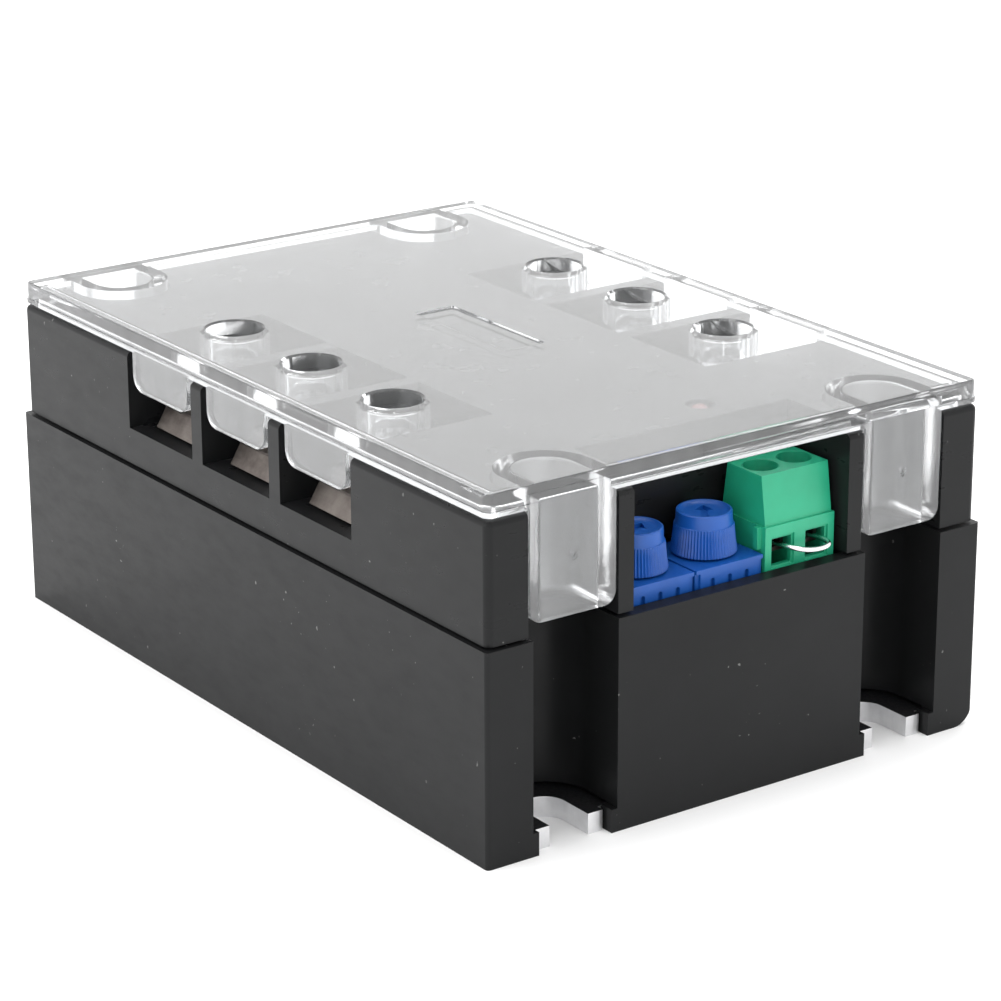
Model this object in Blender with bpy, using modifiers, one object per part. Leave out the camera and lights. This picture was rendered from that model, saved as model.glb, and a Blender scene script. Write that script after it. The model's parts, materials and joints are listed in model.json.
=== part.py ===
"""Three-phase solid state relay with two trimmers and a two-pole control terminal.

World frame, metres: X across the short side, Y along the length, Z up. The origin is under
the middle of the footprint, on the plane that the base plate stands on. The control end
faces -Y. The upper row of power terminals lies on +X and the lower row on -X.
"""

import math

import bmesh
import bpy
from mathutils import Matrix, Vector

MM = 0.001

# ---- Driving dimensions -------------------------------------------------------------------
WIDTH = 72.6 * MM  # lower housing, along X
LENGTH = 106.0 * MM  # lower housing, along Y
LOWER_HEIGHT = 26.1 * MM  # up to the parting line
UPPER_HEIGHT = 14.6 * MM  # parting line to deck
COVER_HEIGHT = 2.8 * MM  # what stands above the deck
GAP = 0.3 * MM  # between pieces that touch
WALL = 2.0 * MM  # housing walls, decks and pocket floors
UPPER_INSET = 0.5 * MM  # upper housing inside the lower one, all round
LOWER_CORNER = 0.5 * MM
LOWER_EDGE = 2.9 * MM  # rounded bottom edge of the +X side
UPPER_CORNER = 0.9 * MM
DECK_EDGE = 0.8 * MM  # rounding of the deck's outer edge

# Mounting channels: four half-round wells, two in each end
CHANNEL_RADIUS = 5.9 * MM
CHANNEL_WALL = 1.8 * MM
NOTCH_RADIUS = 2.7 * MM  # open M5 notch
POST_WIDTH = 2.15 * MM  # between a channel and the control bay

# Base plate
PLATE_THICKNESS = 2.6 * MM
EAR_HALF_WIDTH = 4.8 * MM  # the plate's ears, which carry the notches
EAR_INSET = 1.3 * MM  # ear fronts behind the end face

# Power terminals: two rows of three pockets
PHASES = 3
PHASE_PITCH = 17.8 * MM
RIB_WIDTH = 2.4 * MM  # between two pockets
POCKET_DEPTH = 9.9 * MM  # below the deck
TERMINAL_INSET = 11.6 * MM  # screw axis behind the side face
BAR_BEHIND_BAY = 0.2 * MM  # pocket's inner wall beyond the width of the bay
BAR_WIDTH = 10.4 * MM
BAR_THICKNESS = 2.6 * MM
BAR_NOSE_INSET = 2.8 * MM  # nose behind the side face
BAR_NOSE_RUN = 1.6 * MM  # how far the sloped nose runs in
RISER_THICKNESS = 2.0 * MM
FOOT_THICKNESS = 1.0 * MM
FOOT_LENGTH = 4.0 * MM
SCREW_RADIUS = 2.0 * MM  # M4
SHANK_BELOW_BAR = 3.3 * MM
SCREW_HEAD_RADIUS = 3.3 * MM
SCREW_HEAD_HEIGHT = 2.6 * MM
HEAD_CHAMFER = 0.9 * MM
TIP_CHAMFER = 0.5 * MM
CROSS_DEPTH = 1.5 * MM
CROSS_LENGTH = 4.2 * MM
CROSS_WIDTH = 1.0 * MM
SCREW_CLEARANCE = 0.3 * MM
WASHER_SIDE = 10.0 * MM
WASHER_CORNER = 1.0 * MM
WASHER_THICKNESS = 1.2 * MM

# Clear cover
COVER_INSET = 0.05 * MM  # flange inside the upper housing's face
COVER_LEDGE = 0.15 * MM  # the wall above stands this far inside the flange
COVER_FLANGE = 0.7 * MM
COVER_PLATE = 2.0 * MM
COVER_WALL = 2.0 * MM
COVER_EDGE = 0.5 * MM
COVER_CORNER = 1.0 * MM
COLLAR_WALL = 0.8 * MM
COLLAR_DROP = 5.1 * MM  # collar end below the cover's top
TAB_SIDE_ROOM = 1.1 * MM  # between a tab and each side of its pocket
TAB_THICKNESS = 1.4 * MM
TAB_DROP = 4.9 * MM  # tab end below the cover's flange
TAB_CORNER = 2.0 * MM
PLUG_DROP = 13.5 * MM  # plug end below the cover's flange
PLUG_WALL = 1.8 * MM
PLUG_FRONT_WALL = 1.5 * MM
PLUG_CORNER = 1.6 * MM
PAD_WIDTH = 5.9 * MM
PAD_LENGTH = 20.0 * MM
PAD_DEPTH = 0.25 * MM

# Control bay, in the -Y end
BAY_REAR_ROOM = 0.65 * MM  # rear wall behind the knobs
BAY_SPARE = 0.5 * MM  # beside the terminal block
CONTROL_INSET = 2.3 * MM  # trimmers and terminal block behind the end face
BOARD_DROP = 2.7 * MM  # board's top face below the parting line
BOARD_THICKNESS = 1.6 * MM
BOARD_SIDE_ROOM = 0.3 * MM
BOARD_REAR_ROOM = 17.0 * MM  # board end to the far end face
PIN_STANDOUT = 0.8 * MM  # solder pins below the board

TRIMMERS = 2
TRIMMER_SIDE = 9.8 * MM
TRIMMER_HEIGHT = 4.5 * MM
TRIMMER_GROOVES = 3  # short slots in the front of each body
GROOVE_PITCH = 2.5 * MM
GROOVE_WIDTH = 0.6 * MM
GROOVE_DEPTH = 0.45 * MM
GROOVE_BELOW_TOP = 1.3 * MM
GROOVE_LENGTH = 2.0 * MM
REBATE_WIDTH = 0.6 * MM  # stepped corners of each body
REBATE_DEPTH = 0.3 * MM
REBATE_BELOW_TOP = 0.5 * MM
KNOB_BASE_RADIUS = 3.95 * MM
KNOB_SKIRT_RADIUS = 3.5 * MM
KNOB_TOP_RADIUS = 3.3 * MM
KNOB_DRAFT = 0.1 * MM
KNOB_SKIRT_HEIGHT = 3.4 * MM
KNOB_HEIGHT = 5.0 * MM
KNOB_SLOT = 0.9 * MM
KNOB_SLOT_LENGTH = 4.0 * MM
SPIGOT_RADIUS = 1.5 * MM
SPIGOT_LENGTH = 2.0 * MM
TRIMMER_PIN_OFFSET = 2.0 * MM

BLOCK_WIDTH = 10.4 * MM
BLOCK_DEPTH = 8.5 * MM
BLOCK_HEIGHT = 13.6 * MM
BLOCK_LEDGE_HEIGHT = 7.6 * MM
BLOCK_HEAD_INSET = 0.2 * MM  # the tapered head inside the body, on the two sides
BLOCK_TAPER = 0.9 * MM
BLOCK_WALL = 1.0 * MM
TONGUE_REACH = 0.55 * MM  # joining tongue on the block's -X side
TONGUE_WIDTH = 0.8 * MM
TONGUE_INSET = 0.8 * MM  # behind the block's front
POLE_PITCH = 5.08 * MM
POLE_BORE = 2.1 * MM
POLE_INSET = 4.4 * MM  # screw axis behind the block's front
POLE_SEAT_HEIGHT = 9.7 * MM
POLE_NECK = 0.7 * MM
POLE_HEAD_RADIUS = 1.8 * MM
POLE_HEAD_HEIGHT = 1.9 * MM
POLE_SLOT_WIDTH = 0.7 * MM
POLE_SLOT_DEPTH = 0.8 * MM
POLE_SHANK_RADIUS = 1.0 * MM
WINDOW_WIDTH = 3.4 * MM
WINDOW_SILL = 2.4 * MM
WINDOW_HEIGHT = 3.8 * MM
CLAMP_WIDTH = 3.8 * MM
CLAMP_DEPTH = 4.2 * MM
CLAMP_WALL = 0.5 * MM
CLAMP_SILL = 3.5 * MM
CLAMP_HEIGHT = 5.2 * MM
PIN_THICKNESS = 0.6 * MM
PIN_WIDTH = 1.2 * MM
LINK_RADIUS = 0.32 * MM
LINK_HEIGHT = 4.85 * MM  # above the board
LINK_REACH = 1.9 * MM  # how far the link stands out of the block
LINK_INSIDE = 1.2 * MM  # how far its ends run past the clamp screws
LINK_SAG = 0.55 * MM  # its loop hangs this far below its ends

# Inside
TILE_MARGIN = 6.8 * MM  # tile end beyond a terminal's foot
TILE_SPACE = 1.4 * MM  # between two tiles
TILE_THICKNESS = 1.0 * MM
DIE_SIZE = (7.6 * MM, 7.6 * MM, 0.5 * MM)
DIE_X = 10.0 * MM
POTTING_CLEARANCE = 1.7 * MM  # above the tiles
POTTING_THICKNESS = 8.4 * MM
HEADER_SIZE = (2.5 * MM, 7.4 * MM, 2.5 * MM)
HEADER_PINS = 3
HEADER_PITCH = 2.54 * MM
HEADER_PIN = 0.32 * MM
BOARD_PIN_HOLE = 0.65 * MM
OPTO_SIZE = (6.4 * MM, 8.6 * MM, 3.4 * MM)
OPTO_X = 8.0 * MM
CHIP_SIZE = (7.4 * MM, 10.2 * MM, 2.0 * MM)
CHIP_X = -7.5 * MM
CAPACITOR_RADIUS = 4.0 * MM
CAPACITOR_HEIGHT = 9.0 * MM
CAPACITOR_Y = 20.0 * MM
LED_RADIUS = 1.5 * MM
LED_X = 6.1 * MM
LED_BEHIND_BAY = 4.6 * MM
LED_HEIGHT = 4.2 * MM
LED_LEG = 0.5 * MM

# ---- Sizes that follow --------------------------------------------------------------------
HALF_W = WIDTH / 2
HALF_L = LENGTH / 2
UPPER_HALF_W = HALF_W - UPPER_INSET
UPPER_HALF_L = HALF_L - UPPER_INSET
UPPER_BOTTOM = LOWER_HEIGHT + GAP
DECK_HEIGHT = UPPER_BOTTOM + UPPER_HEIGHT
COVER_BOTTOM = DECK_HEIGHT + GAP
COVER_TOP = COVER_BOTTOM + COVER_HEIGHT
CEILING = COVER_TOP - COVER_PLATE
BAY_HALF_WIDTH = (TRIMMERS * (TRIMMER_SIDE + GAP) + BLOCK_WIDTH + GAP + BAY_SPARE) / 2
UPPER_CHANNEL_RADIUS = CHANNEL_RADIUS + GAP
CHANNEL_X = BAY_HALF_WIDTH + POST_WIDTH + UPPER_CHANNEL_RADIUS
CHANNEL_Y = HALF_L - CHANNEL_RADIUS
ABOVE_PLATE = PLATE_THICKNESS + GAP
FLANGE_HALF_W = UPPER_HALF_W - COVER_INSET
FLANGE_HALF_L = UPPER_HALF_L - COVER_INSET
PHASE_Y = [(i - (PHASES - 1) / 2) * PHASE_PITCH for i in reversed(range(PHASES))]
POCKET_WIDTH = PHASE_PITCH - RIB_WIDTH
POCKET_FLOOR = DECK_HEIGHT - POCKET_DEPTH
BOARD_HALF_WIDTH = BAY_HALF_WIDTH - BOARD_SIDE_ROOM
POCKET_INNER_X = BAY_HALF_WIDTH + BAR_BEHIND_BAY
TERMINAL_X = HALF_W - TERMINAL_INSET
BAR_NOSE_X = HALF_W - BAR_NOSE_INSET
BAR_BOTTOM = POCKET_FLOOR + GAP
BAR_TOP = BAR_BOTTOM + BAR_THICKNESS
BAR_INNER_X = POCKET_INNER_X + GAP
WASHER_BOTTOM = BAR_TOP + GAP
WASHER_TOP = WASHER_BOTTOM + WASHER_THICKNESS
HEAD_BOTTOM = WASHER_TOP + GAP
HEAD_TOP = HEAD_BOTTOM + SCREW_HEAD_HEIGHT
SHANK_BOTTOM = BAR_BOTTOM - SHANK_BELOW_BAR
COLLAR_BORE = SCREW_HEAD_RADIUS + SCREW_CLEARANCE
TAB_WIDTH = POCKET_WIDTH - 2 * TAB_SIDE_ROOM
TAB_BOTTOM = COVER_BOTTOM - TAB_DROP
PLUG_BOTTOM = COVER_BOTTOM - PLUG_DROP
TILE_TOP = ABOVE_PLATE + TILE_THICKNESS
ON_TILE = TILE_TOP + GAP
TILE_HALF_X = BAR_INNER_X + RISER_THICKNESS + FOOT_LENGTH + TILE_MARGIN
TILE_HALF_Y = (PHASE_PITCH - TILE_SPACE) / 2
POTTING_BOTTOM = TILE_TOP + POTTING_CLEARANCE
POTTING_TOP = POTTING_BOTTOM + POTTING_THICKNESS
CONTROL_FRONT_Y = CONTROL_INSET - HALF_L
BAY_REACH = max(TRIMMER_SIDE / 2 + KNOB_BASE_RADIUS, BLOCK_DEPTH)
BAY_REAR_Y = CONTROL_FRONT_Y + BAY_REACH + BAY_REAR_ROOM
BOARD_TOP = LOWER_HEIGHT - BOARD_DROP
BOARD_BOTTOM = BOARD_TOP - BOARD_THICKNESS
BOARD_FRONT_Y = CONTROL_FRONT_Y + GAP
BOARD_REAR_Y = HALF_L - BOARD_REAR_ROOM
ON_BOARD = BOARD_TOP + GAP
PIN_TIP = BOARD_BOTTOM - PIN_STANDOUT
TRIMMER_TOP = ON_BOARD + TRIMMER_HEIGHT
GROOVE_TOP = TRIMMER_TOP - GROOVE_BELOW_TOP
TRIMMER_Y = CONTROL_FRONT_Y + TRIMMER_SIDE / 2
TRIMMER_X = [
    GAP - BAY_HALF_WIDTH + TRIMMER_SIDE / 2 + i * (TRIMMER_SIDE + GAP) for i in range(TRIMMERS)
]
KNOB_BOTTOM = TRIMMER_TOP + GAP
KNOB_TOP = KNOB_BOTTOM + KNOB_HEIGHT
BLOCK_X = BAY_HALF_WIDTH - BAY_SPARE - BLOCK_WIDTH / 2
BLOCK_BACK_Y = CONTROL_FRONT_Y + BLOCK_DEPTH
BLOCK_LEDGE = ON_BOARD + BLOCK_LEDGE_HEIGHT
BLOCK_TOP = ON_BOARD + BLOCK_HEIGHT
POLE_X = [BLOCK_X - POLE_PITCH / 2, BLOCK_X + POLE_PITCH / 2]
POLE_SCREW_Y = CONTROL_FRONT_Y + POLE_INSET
POLE_SEAT = ON_BOARD + POLE_SEAT_HEIGHT
CAVITY_TOP = POLE_SEAT - POLE_NECK
WINDOW_BOTTOM = ON_BOARD + WINDOW_SILL
WINDOW_TOP = WINDOW_BOTTOM + WINDOW_HEIGHT
CLAMP_BOTTOM = ON_BOARD + CLAMP_SILL
CLAMP_TOP = CLAMP_BOTTOM + CLAMP_HEIGHT
LINK_Z = ON_BOARD + LINK_HEIGHT
STRIP_BOTTOM = LINK_Z + LINK_RADIUS + GAP
STRIP_TOP = STRIP_BOTTOM + PIN_THICKNESS
PIN_BACK_Y = BLOCK_BACK_Y - BLOCK_WALL - GAP
PIN_Y = PIN_BACK_Y - PIN_THICKNESS / 2
LED_PLACE = (LED_X, BAY_REAR_Y + LED_BEHIND_BAY)
BEYOND = 5.0 * MM  # how far a cutter runs past what it cuts


# ---- Tools --------------------------------------------------------------------------------
def clear_scene():
    for obj in list(bpy.data.objects):
        bpy.data.objects.remove(obj)


def collection_of(name):
    made = bpy.data.collections.new(name)
    bpy.context.scene.collection.children.link(made)
    return made


def plain_material(name, colour, roughness, metallic=0.0, transmission=0.0):
    made = bpy.data.materials.new(name)
    made.use_nodes = True
    shader = made.node_tree.nodes["Principled BSDF"]
    shader.inputs["Base Color"].default_value = (*colour, 1.0)
    shader.inputs["Roughness"].default_value = roughness
    shader.inputs["Metallic"].default_value = metallic
    shader.inputs["Transmission Weight"].default_value = transmission
    made.diffuse_color = (*colour, 1.0)
    return made


def place(name, mesh, material=None, location=(0, 0, 0)):
    """A part when it has a material, otherwise a cutter."""
    obj = bpy.data.objects.new(name, mesh)
    obj.location = location
    if material is None:
        CUTTERS.objects.link(obj)
        obj.hide_render = True
        obj.display_type = "WIRE"
    else:
        PARTS.objects.link(obj)
        mesh.materials.append(material)
    return obj


def box(name, low, high, material=None):
    """A box between two corners, with its origin at its middle."""
    low, high = Vector(low), Vector(high)
    shape = bmesh.new()
    bmesh.ops.create_cube(shape, size=1.0)
    bmesh.ops.scale(shape, vec=high - low, verts=shape.verts)
    mesh = bpy.data.meshes.new(name)
    shape.to_mesh(mesh)
    shape.free()
    return place(name, mesh, material, (low + high) / 2)


def cylinder(name, radius, low, high, centre, material=None, segments=24):
    """An upright cylinder from one height to another."""
    shape = bmesh.new()
    bmesh.ops.create_cone(
        shape, cap_ends=True, segments=segments, radius1=radius, radius2=radius, depth=high - low
    )
    mesh = bpy.data.meshes.new(name)
    shape.to_mesh(mesh)
    shape.free()
    return place(name, mesh, material, (centre[0], centre[1], (low + high) / 2))


def smooth(obj, angle=35.0):
    obj.data.shade_smooth()
    obj.data.set_sharp_from_angle(angle=math.radians(angle))


def turned(name, profile, centre, material, steps=32):
    """A turned piece on an upright axis. The profile runs (radius, height) from top to bottom."""
    mesh = bpy.data.meshes.new(name)
    points = [(radius, 0.0, height) for radius, height in profile]
    mesh.from_pydata(points, [(i, i + 1) for i in range(len(points) - 1)], [])
    obj = place(name, mesh, material, (*centre, 0.0))
    screw = obj.modifiers.new("Turn", "SCREW")
    screw.axis = "Z"
    screw.steps = steps
    screw.render_steps = steps
    screw.use_merge_vertices = True
    screw.merge_threshold = 0.00001
    screw.use_smooth_shade = True
    return obj


def prism(name, outline, low, high, material=None, plane="XY", centre=(0.0, 0.0)):
    """A flat outline given a thickness. In plane XZ it runs along Y, and in YZ along X."""
    curve = bpy.data.curves.new(name, "CURVE")
    curve.dimensions = "2D"
    curve.fill_mode = "BOTH"
    curve.extrude = (high - low) / 2
    spline = curve.splines.new("POLY")
    spline.points.add(len(outline) - 1)
    for point, (u, v) in zip(spline.points, outline):
        point.co = (u, v, 0.0, 1.0)
    spline.use_cyclic_u = True
    middle = (low + high) / 2
    guide = bpy.data.objects.new(name + "_outline", curve)
    bpy.context.scene.collection.objects.link(guide)
    if plane == "XY":
        turn = Matrix.Identity(4)
        at = Vector((*centre, middle))
    elif plane == "XZ":
        turn = Matrix.Rotation(math.radians(90), 4, "X")
        at = Vector((centre[0], middle, centre[1]))
    else:
        turn = Matrix.Rotation(math.radians(90), 4, "Z") @ Matrix.Rotation(math.radians(90), 4, "X")
        at = Vector((middle, *centre))
    guide.matrix_world = Matrix.Translation(at) @ turn
    bpy.context.view_layer.update()
    evaluated = guide.evaluated_get(bpy.context.evaluated_depsgraph_get())
    mesh = bpy.data.meshes.new_from_object(evaluated)
    mesh.name = name
    mesh.materials.clear()
    shape = bmesh.new()
    shape.from_mesh(mesh)
    bmesh.ops.remove_doubles(shape, verts=shape.verts, dist=1e-7)
    bmesh.ops.recalc_face_normals(shape, faces=shape.faces)
    shape.to_mesh(mesh)
    shape.free()
    obj = place(name, mesh, material)
    obj.matrix_world = guide.matrix_world.copy()
    bpy.data.objects.remove(guide)
    return obj


def boolean(target, other, operation="DIFFERENCE"):
    modifier = target.modifiers.new(other.name, "BOOLEAN")
    modifier.operation = operation
    modifier.solver = "EXACT"
    modifier.object = other


def bevel(obj, width, segments=2, angle=50.0):
    modifier = obj.modifiers.new("Edges", "BEVEL")
    modifier.width = width
    modifier.segments = segments
    modifier.limit_method = "ANGLE"
    modifier.angle_limit = math.radians(angle)


# ---- Outlines -----------------------------------------------------------------------------
def arc(centre, radius, start, end, steps):
    """Points along an arc, angles in degrees, both ends included."""
    points = []
    for i in range(steps + 1):
        angle = math.radians(start + (end - start) * i / steps)
        points.append((centre[0] + radius * math.cos(angle), centre[1] + radius * math.sin(angle)))
    return points


def rounded_rectangle(half_u, half_v, radius, steps=4):
    points = []
    for quarter, (su, sv) in enumerate(((1, 1), (-1, 1), (-1, -1), (1, -1))):
        centre = (su * (half_u - radius), sv * (half_v - radius))
        points += arc(centre, radius, 90 * quarter, 90 * quarter + 90, steps)
    return points


def channel_outline(radius, reach, steps=12):
    """Half a circle about the origin, with straight sides running to v = -reach."""
    return [(radius, -reach)] + arc((0.0, 0.0), radius, 0, 180, steps) + [(-radius, -reach)]


def channels():
    """The four mounting channels as (name, x, y, side), side -1 at the control end."""
    for row, side in (("front", -1), ("rear", 1)):
        for column, x in (("left", -CHANNEL_X), ("right", CHANNEL_X)):
            yield f"{row}_{column}", x, side * CHANNEL_Y, side


def channel_solid(name, radius, reach, low, high, x, y, side, material=None, steps=12):
    outline = [(u, -side * v) for u, v in channel_outline(radius, reach, steps)]
    return prism(name, outline, low, high, material, centre=(x, y))


def poles():
    """The six power poles as (name, sign of x, y)."""
    for prefix, side in (("l", -1), ("t", 1)):
        for i, y in enumerate(PHASE_Y):
            yield f"{prefix}{i + 1}", side, y


def across(side, near, far):
    """The two X limits of a span from near to far, mirrored when side is -1."""
    return min(side * near, side * far), max(side * near, side * far)


# ---- Base plate and housings --------------------------------------------------------------
def make_base_plate():
    inner_w = HALF_W - WALL - GAP
    inner_l = HALF_L - WALL - GAP
    plate = box(
        "base_plate", (-inner_w, -inner_l, 0), (inner_w, inner_l, PLATE_THICKNESS), ALUMINIUM
    )
    for name, x, y, side in channels():
        y0, y1 = sorted((side * (HALF_L - EAR_INSET), side * (inner_l - BEYOND)))
        piece = box(
            f"ear_{name}",
            (x - EAR_HALF_WIDTH, y0, 0),
            (x + EAR_HALF_WIDTH, y1, PLATE_THICKNESS),
        )
        boolean(plate, piece, "UNION")
    for name, x, y, side in channels():
        notch = channel_solid(
            f"plate_notch_{name}", NOTCH_RADIUS, CHANNEL_RADIUS + BEYOND,
            -BEYOND, PLATE_THICKNESS + BEYOND, x, y, side,
        )
        boolean(plate, notch)


def make_lower_housing():
    outline = rounded_rectangle(HALF_W, HALF_L, LOWER_CORNER)
    shell = prism("lower_housing", outline, 0, LOWER_HEIGHT, BLACK)
    inner_w, inner_l = HALF_W - WALL, HALF_L - WALL
    hollow = box(
        "lower_hollow", (-inner_w, -inner_l, ABOVE_PLATE), (inner_w, inner_l, LOWER_HEIGHT + BEYOND)
    )
    for name, x, y, side in channels():
        tower = channel_solid(
            f"lower_tower_{name}", CHANNEL_RADIUS + CHANNEL_WALL, CHANNEL_RADIUS + BEYOND,
            -BEYOND, LOWER_HEIGHT + 2 * BEYOND, x, y, side,
        )
        boolean(hollow, tower)
    boolean(shell, hollow)
    bed_top = ABOVE_PLATE + GAP / 2
    boolean(shell, box("plate_bed", (-inner_w, -inner_l, -BEYOND), (inner_w, inner_l, bed_top)))
    boolean(shell, bottom_edge_cutter())
    mouth_half = EAR_HALF_WIDTH + GAP
    for name, x, y, side in channels():
        well = channel_solid(
            f"lower_channel_{name}", CHANNEL_RADIUS, CHANNEL_RADIUS + BEYOND,
            ABOVE_PLATE, LOWER_HEIGHT + BEYOND, x, y, side,
        )
        boolean(shell, well)
        y0, y1 = sorted((side * (HALF_L + BEYOND), side * (inner_l - BEYOND)))
        mouth = box(f"ear_bed_{name}", (x - mouth_half, y0, -BEYOND), (x + mouth_half, y1, bed_top))
        boolean(shell, mouth)


def bottom_edge_cutter():
    """What lies outside the rounded bottom edge, along the whole +X side."""
    outline = arc((HALF_W - LOWER_EDGE, LOWER_EDGE), LOWER_EDGE, 270, 360, 6)
    beyond = HALF_W + BEYOND
    outline += [(beyond, LOWER_EDGE), (beyond, -BEYOND), (HALF_W - LOWER_EDGE, -BEYOND)]
    return prism("lower_edge", outline, -HALF_L - BEYOND, HALF_L + BEYOND, plane="XZ")


def make_upper_housing():
    outline = rounded_rectangle(UPPER_HALF_W, UPPER_HALF_L, UPPER_CORNER)
    shell = prism("upper_housing", outline, UPPER_BOTTOM, DECK_HEIGHT, BLACK)
    bevel(shell, DECK_EDGE, segments=3)
    bottom = prism("upper_square_bottom", outline, UPPER_BOTTOM, UPPER_BOTTOM + BEYOND)
    boolean(shell, bottom, "UNION")
    inner_w, inner_l = UPPER_HALF_W - WALL, UPPER_HALF_L - WALL
    hollow = box(
        "upper_hollow",
        (-inner_w, -inner_l, UPPER_BOTTOM - BEYOND),
        (inner_w, inner_l, DECK_HEIGHT - WALL),
    )
    for name, x, y, side in channels():
        tower = channel_solid(
            f"upper_tower_{name}", UPPER_CHANNEL_RADIUS + CHANNEL_WALL, CHANNEL_RADIUS + BEYOND,
            UPPER_BOTTOM - 2 * BEYOND, DECK_HEIGHT + BEYOND, x, y, side,
        )
        boolean(hollow, tower)
    pocket_block_y = PHASE_Y[0] + POCKET_WIDTH / 2 + WALL
    for prefix, side in (("l", -1), ("t", 1)):
        x0, x1 = across(side, POCKET_INNER_X - WALL, HALF_W + BEYOND)
        block = box(
            f"pocket_block_{prefix}",
            (x0, -pocket_block_y, POCKET_FLOOR - WALL),
            (x1, pocket_block_y, DECK_HEIGHT + BEYOND),
        )
        boolean(hollow, block)
    post_x = CHANNEL_X - UPPER_CHANNEL_RADIUS
    bay_block = box(
        "bay_block",
        (-post_x, -HALF_L - BEYOND, UPPER_BOTTOM - 2 * BEYOND),
        (post_x, BAY_REAR_Y + WALL, DECK_HEIGHT + BEYOND),
    )
    boolean(hollow, bay_block)
    boolean(shell, hollow)
    for name, x, y, side in channels():
        well = channel_solid(
            f"upper_channel_{name}", UPPER_CHANNEL_RADIUS, CHANNEL_RADIUS + BEYOND,
            UPPER_BOTTOM - BEYOND, DECK_HEIGHT + BEYOND, x, y, side,
        )
        boolean(shell, well)
    bay = box(
        "bay_well",
        (-BAY_HALF_WIDTH, -HALF_L - BEYOND, UPPER_BOTTOM - BEYOND),
        (BAY_HALF_WIDTH, BAY_REAR_Y, DECK_HEIGHT + BEYOND),
    )
    boolean(shell, bay)
    under_wall = box(
        "bay_under_wall",
        (-BAY_HALF_WIDTH, BAY_REAR_Y - BEYOND, UPPER_BOTTOM - BEYOND),
        (BAY_HALF_WIDTH, BAY_REAR_Y + BEYOND, KNOB_BOTTOM + GAP),
    )
    boolean(shell, under_wall)
    for name, side, y in poles():
        x0, x1 = across(side, POCKET_INNER_X, HALF_W + BEYOND)
        pocket = box(
            f"pocket_{name}",
            (x0, y - POCKET_WIDTH / 2, POCKET_FLOOR),
            (x1, y + POCKET_WIDTH / 2, DECK_HEIGHT + BEYOND),
        )
        boolean(shell, pocket)
        x0, x1 = across(side, BAR_INNER_X - GAP / 2, BAR_INNER_X + RISER_THICKNESS + GAP)
        slot = box(
            f"riser_slot_{name}",
            (x0, y - BAR_WIDTH / 2 - GAP, POCKET_FLOOR - WALL - BEYOND),
            (x1, y + BAR_WIDTH / 2 + GAP, POCKET_FLOOR + GAP),
        )
        boolean(shell, slot)
        well = cylinder(
            f"shank_well_{name}", SCREW_RADIUS + 2 * SCREW_CLEARANCE,
            POCKET_FLOOR - WALL - BEYOND, POCKET_FLOOR + GAP, (side * TERMINAL_X, y), segments=20,
        )
        boolean(shell, well)
    lens = cylinder(
        "led_hole", LED_RADIUS + GAP, DECK_HEIGHT - WALL - BEYOND, DECK_HEIGHT + BEYOND, LED_PLACE,
        segments=20,
    )
    boolean(shell, lens)


# ---- Clear cover --------------------------------------------------------------------------
def make_cover():
    flange = rounded_rectangle(FLANGE_HALF_W, FLANGE_HALF_L, COVER_CORNER)
    wall = rounded_rectangle(
        FLANGE_HALF_W - COVER_LEDGE, FLANGE_HALF_L - COVER_LEDGE, COVER_CORNER - COVER_LEDGE
    )
    cover = prism("clear_cover", wall, COVER_BOTTOM + COVER_FLANGE / 2, COVER_TOP, CLEAR)
    bevel(cover, COVER_EDGE, segments=1)
    ring = prism("cover_flange", flange, COVER_BOTTOM, COVER_BOTTOM + COVER_FLANGE)
    boolean(cover, ring, "UNION")
    inner_w = FLANGE_HALF_W - COVER_WALL
    inner_l = FLANGE_HALF_L - COVER_WALL
    low = COVER_BOTTOM - BEYOND
    hollow = box("cover_hollow", (-inner_w, -inner_l, low), (inner_w, inner_l, CEILING))
    boolean(cover, hollow)
    for name, side, y in poles():
        add_tab(cover, name, side, y)
        collar = cylinder(
            f"collar_{name}", COLLAR_BORE + COLLAR_WALL, COVER_TOP - COLLAR_DROP,
            CEILING + COVER_PLATE / 2, (side * TERMINAL_X, y), segments=32,
        )
        boolean(cover, collar, "UNION")
    for name, x, y, side in channels():
        add_plug(cover, name, x, y, side)
    for name, side, y in poles():
        bore = cylinder(
            f"collar_bore_{name}", COLLAR_BORE, COVER_TOP - COLLAR_DROP - BEYOND,
            COVER_TOP + BEYOND, (side * TERMINAL_X, y), segments=32,
        )
        boolean(cover, bore)
    pad = box(
        "pad_recess",
        (-PAD_WIDTH / 2, -PAD_LENGTH / 2, COVER_TOP - PAD_DEPTH),
        (PAD_WIDTH / 2, PAD_LENGTH / 2, COVER_TOP + BEYOND),
    )
    boolean(cover, pad)


def add_tab(cover, name, side, y):
    """A tab with two rounded lower corners, hanging from the rim into a side slot."""
    half = TAB_WIDTH / 2
    top = COVER_BOTTOM + COVER_FLANGE * 0.8
    low = TAB_BOTTOM + TAB_CORNER
    outline = arc((-half + TAB_CORNER, low), TAB_CORNER, 180, 270, 4)
    outline += arc((half - TAB_CORNER, low), TAB_CORNER, 270, 360, 4)
    outline += [(half, top), (-half, top)]
    outer = FLANGE_HALF_W - COVER_INSET
    x0, x1 = across(side, outer - TAB_THICKNESS, outer)
    tab = prism(f"tab_{name}", outline, x0, x1, plane="YZ", centre=(y, 0.0))
    boolean(cover, tab, "UNION")


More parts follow.
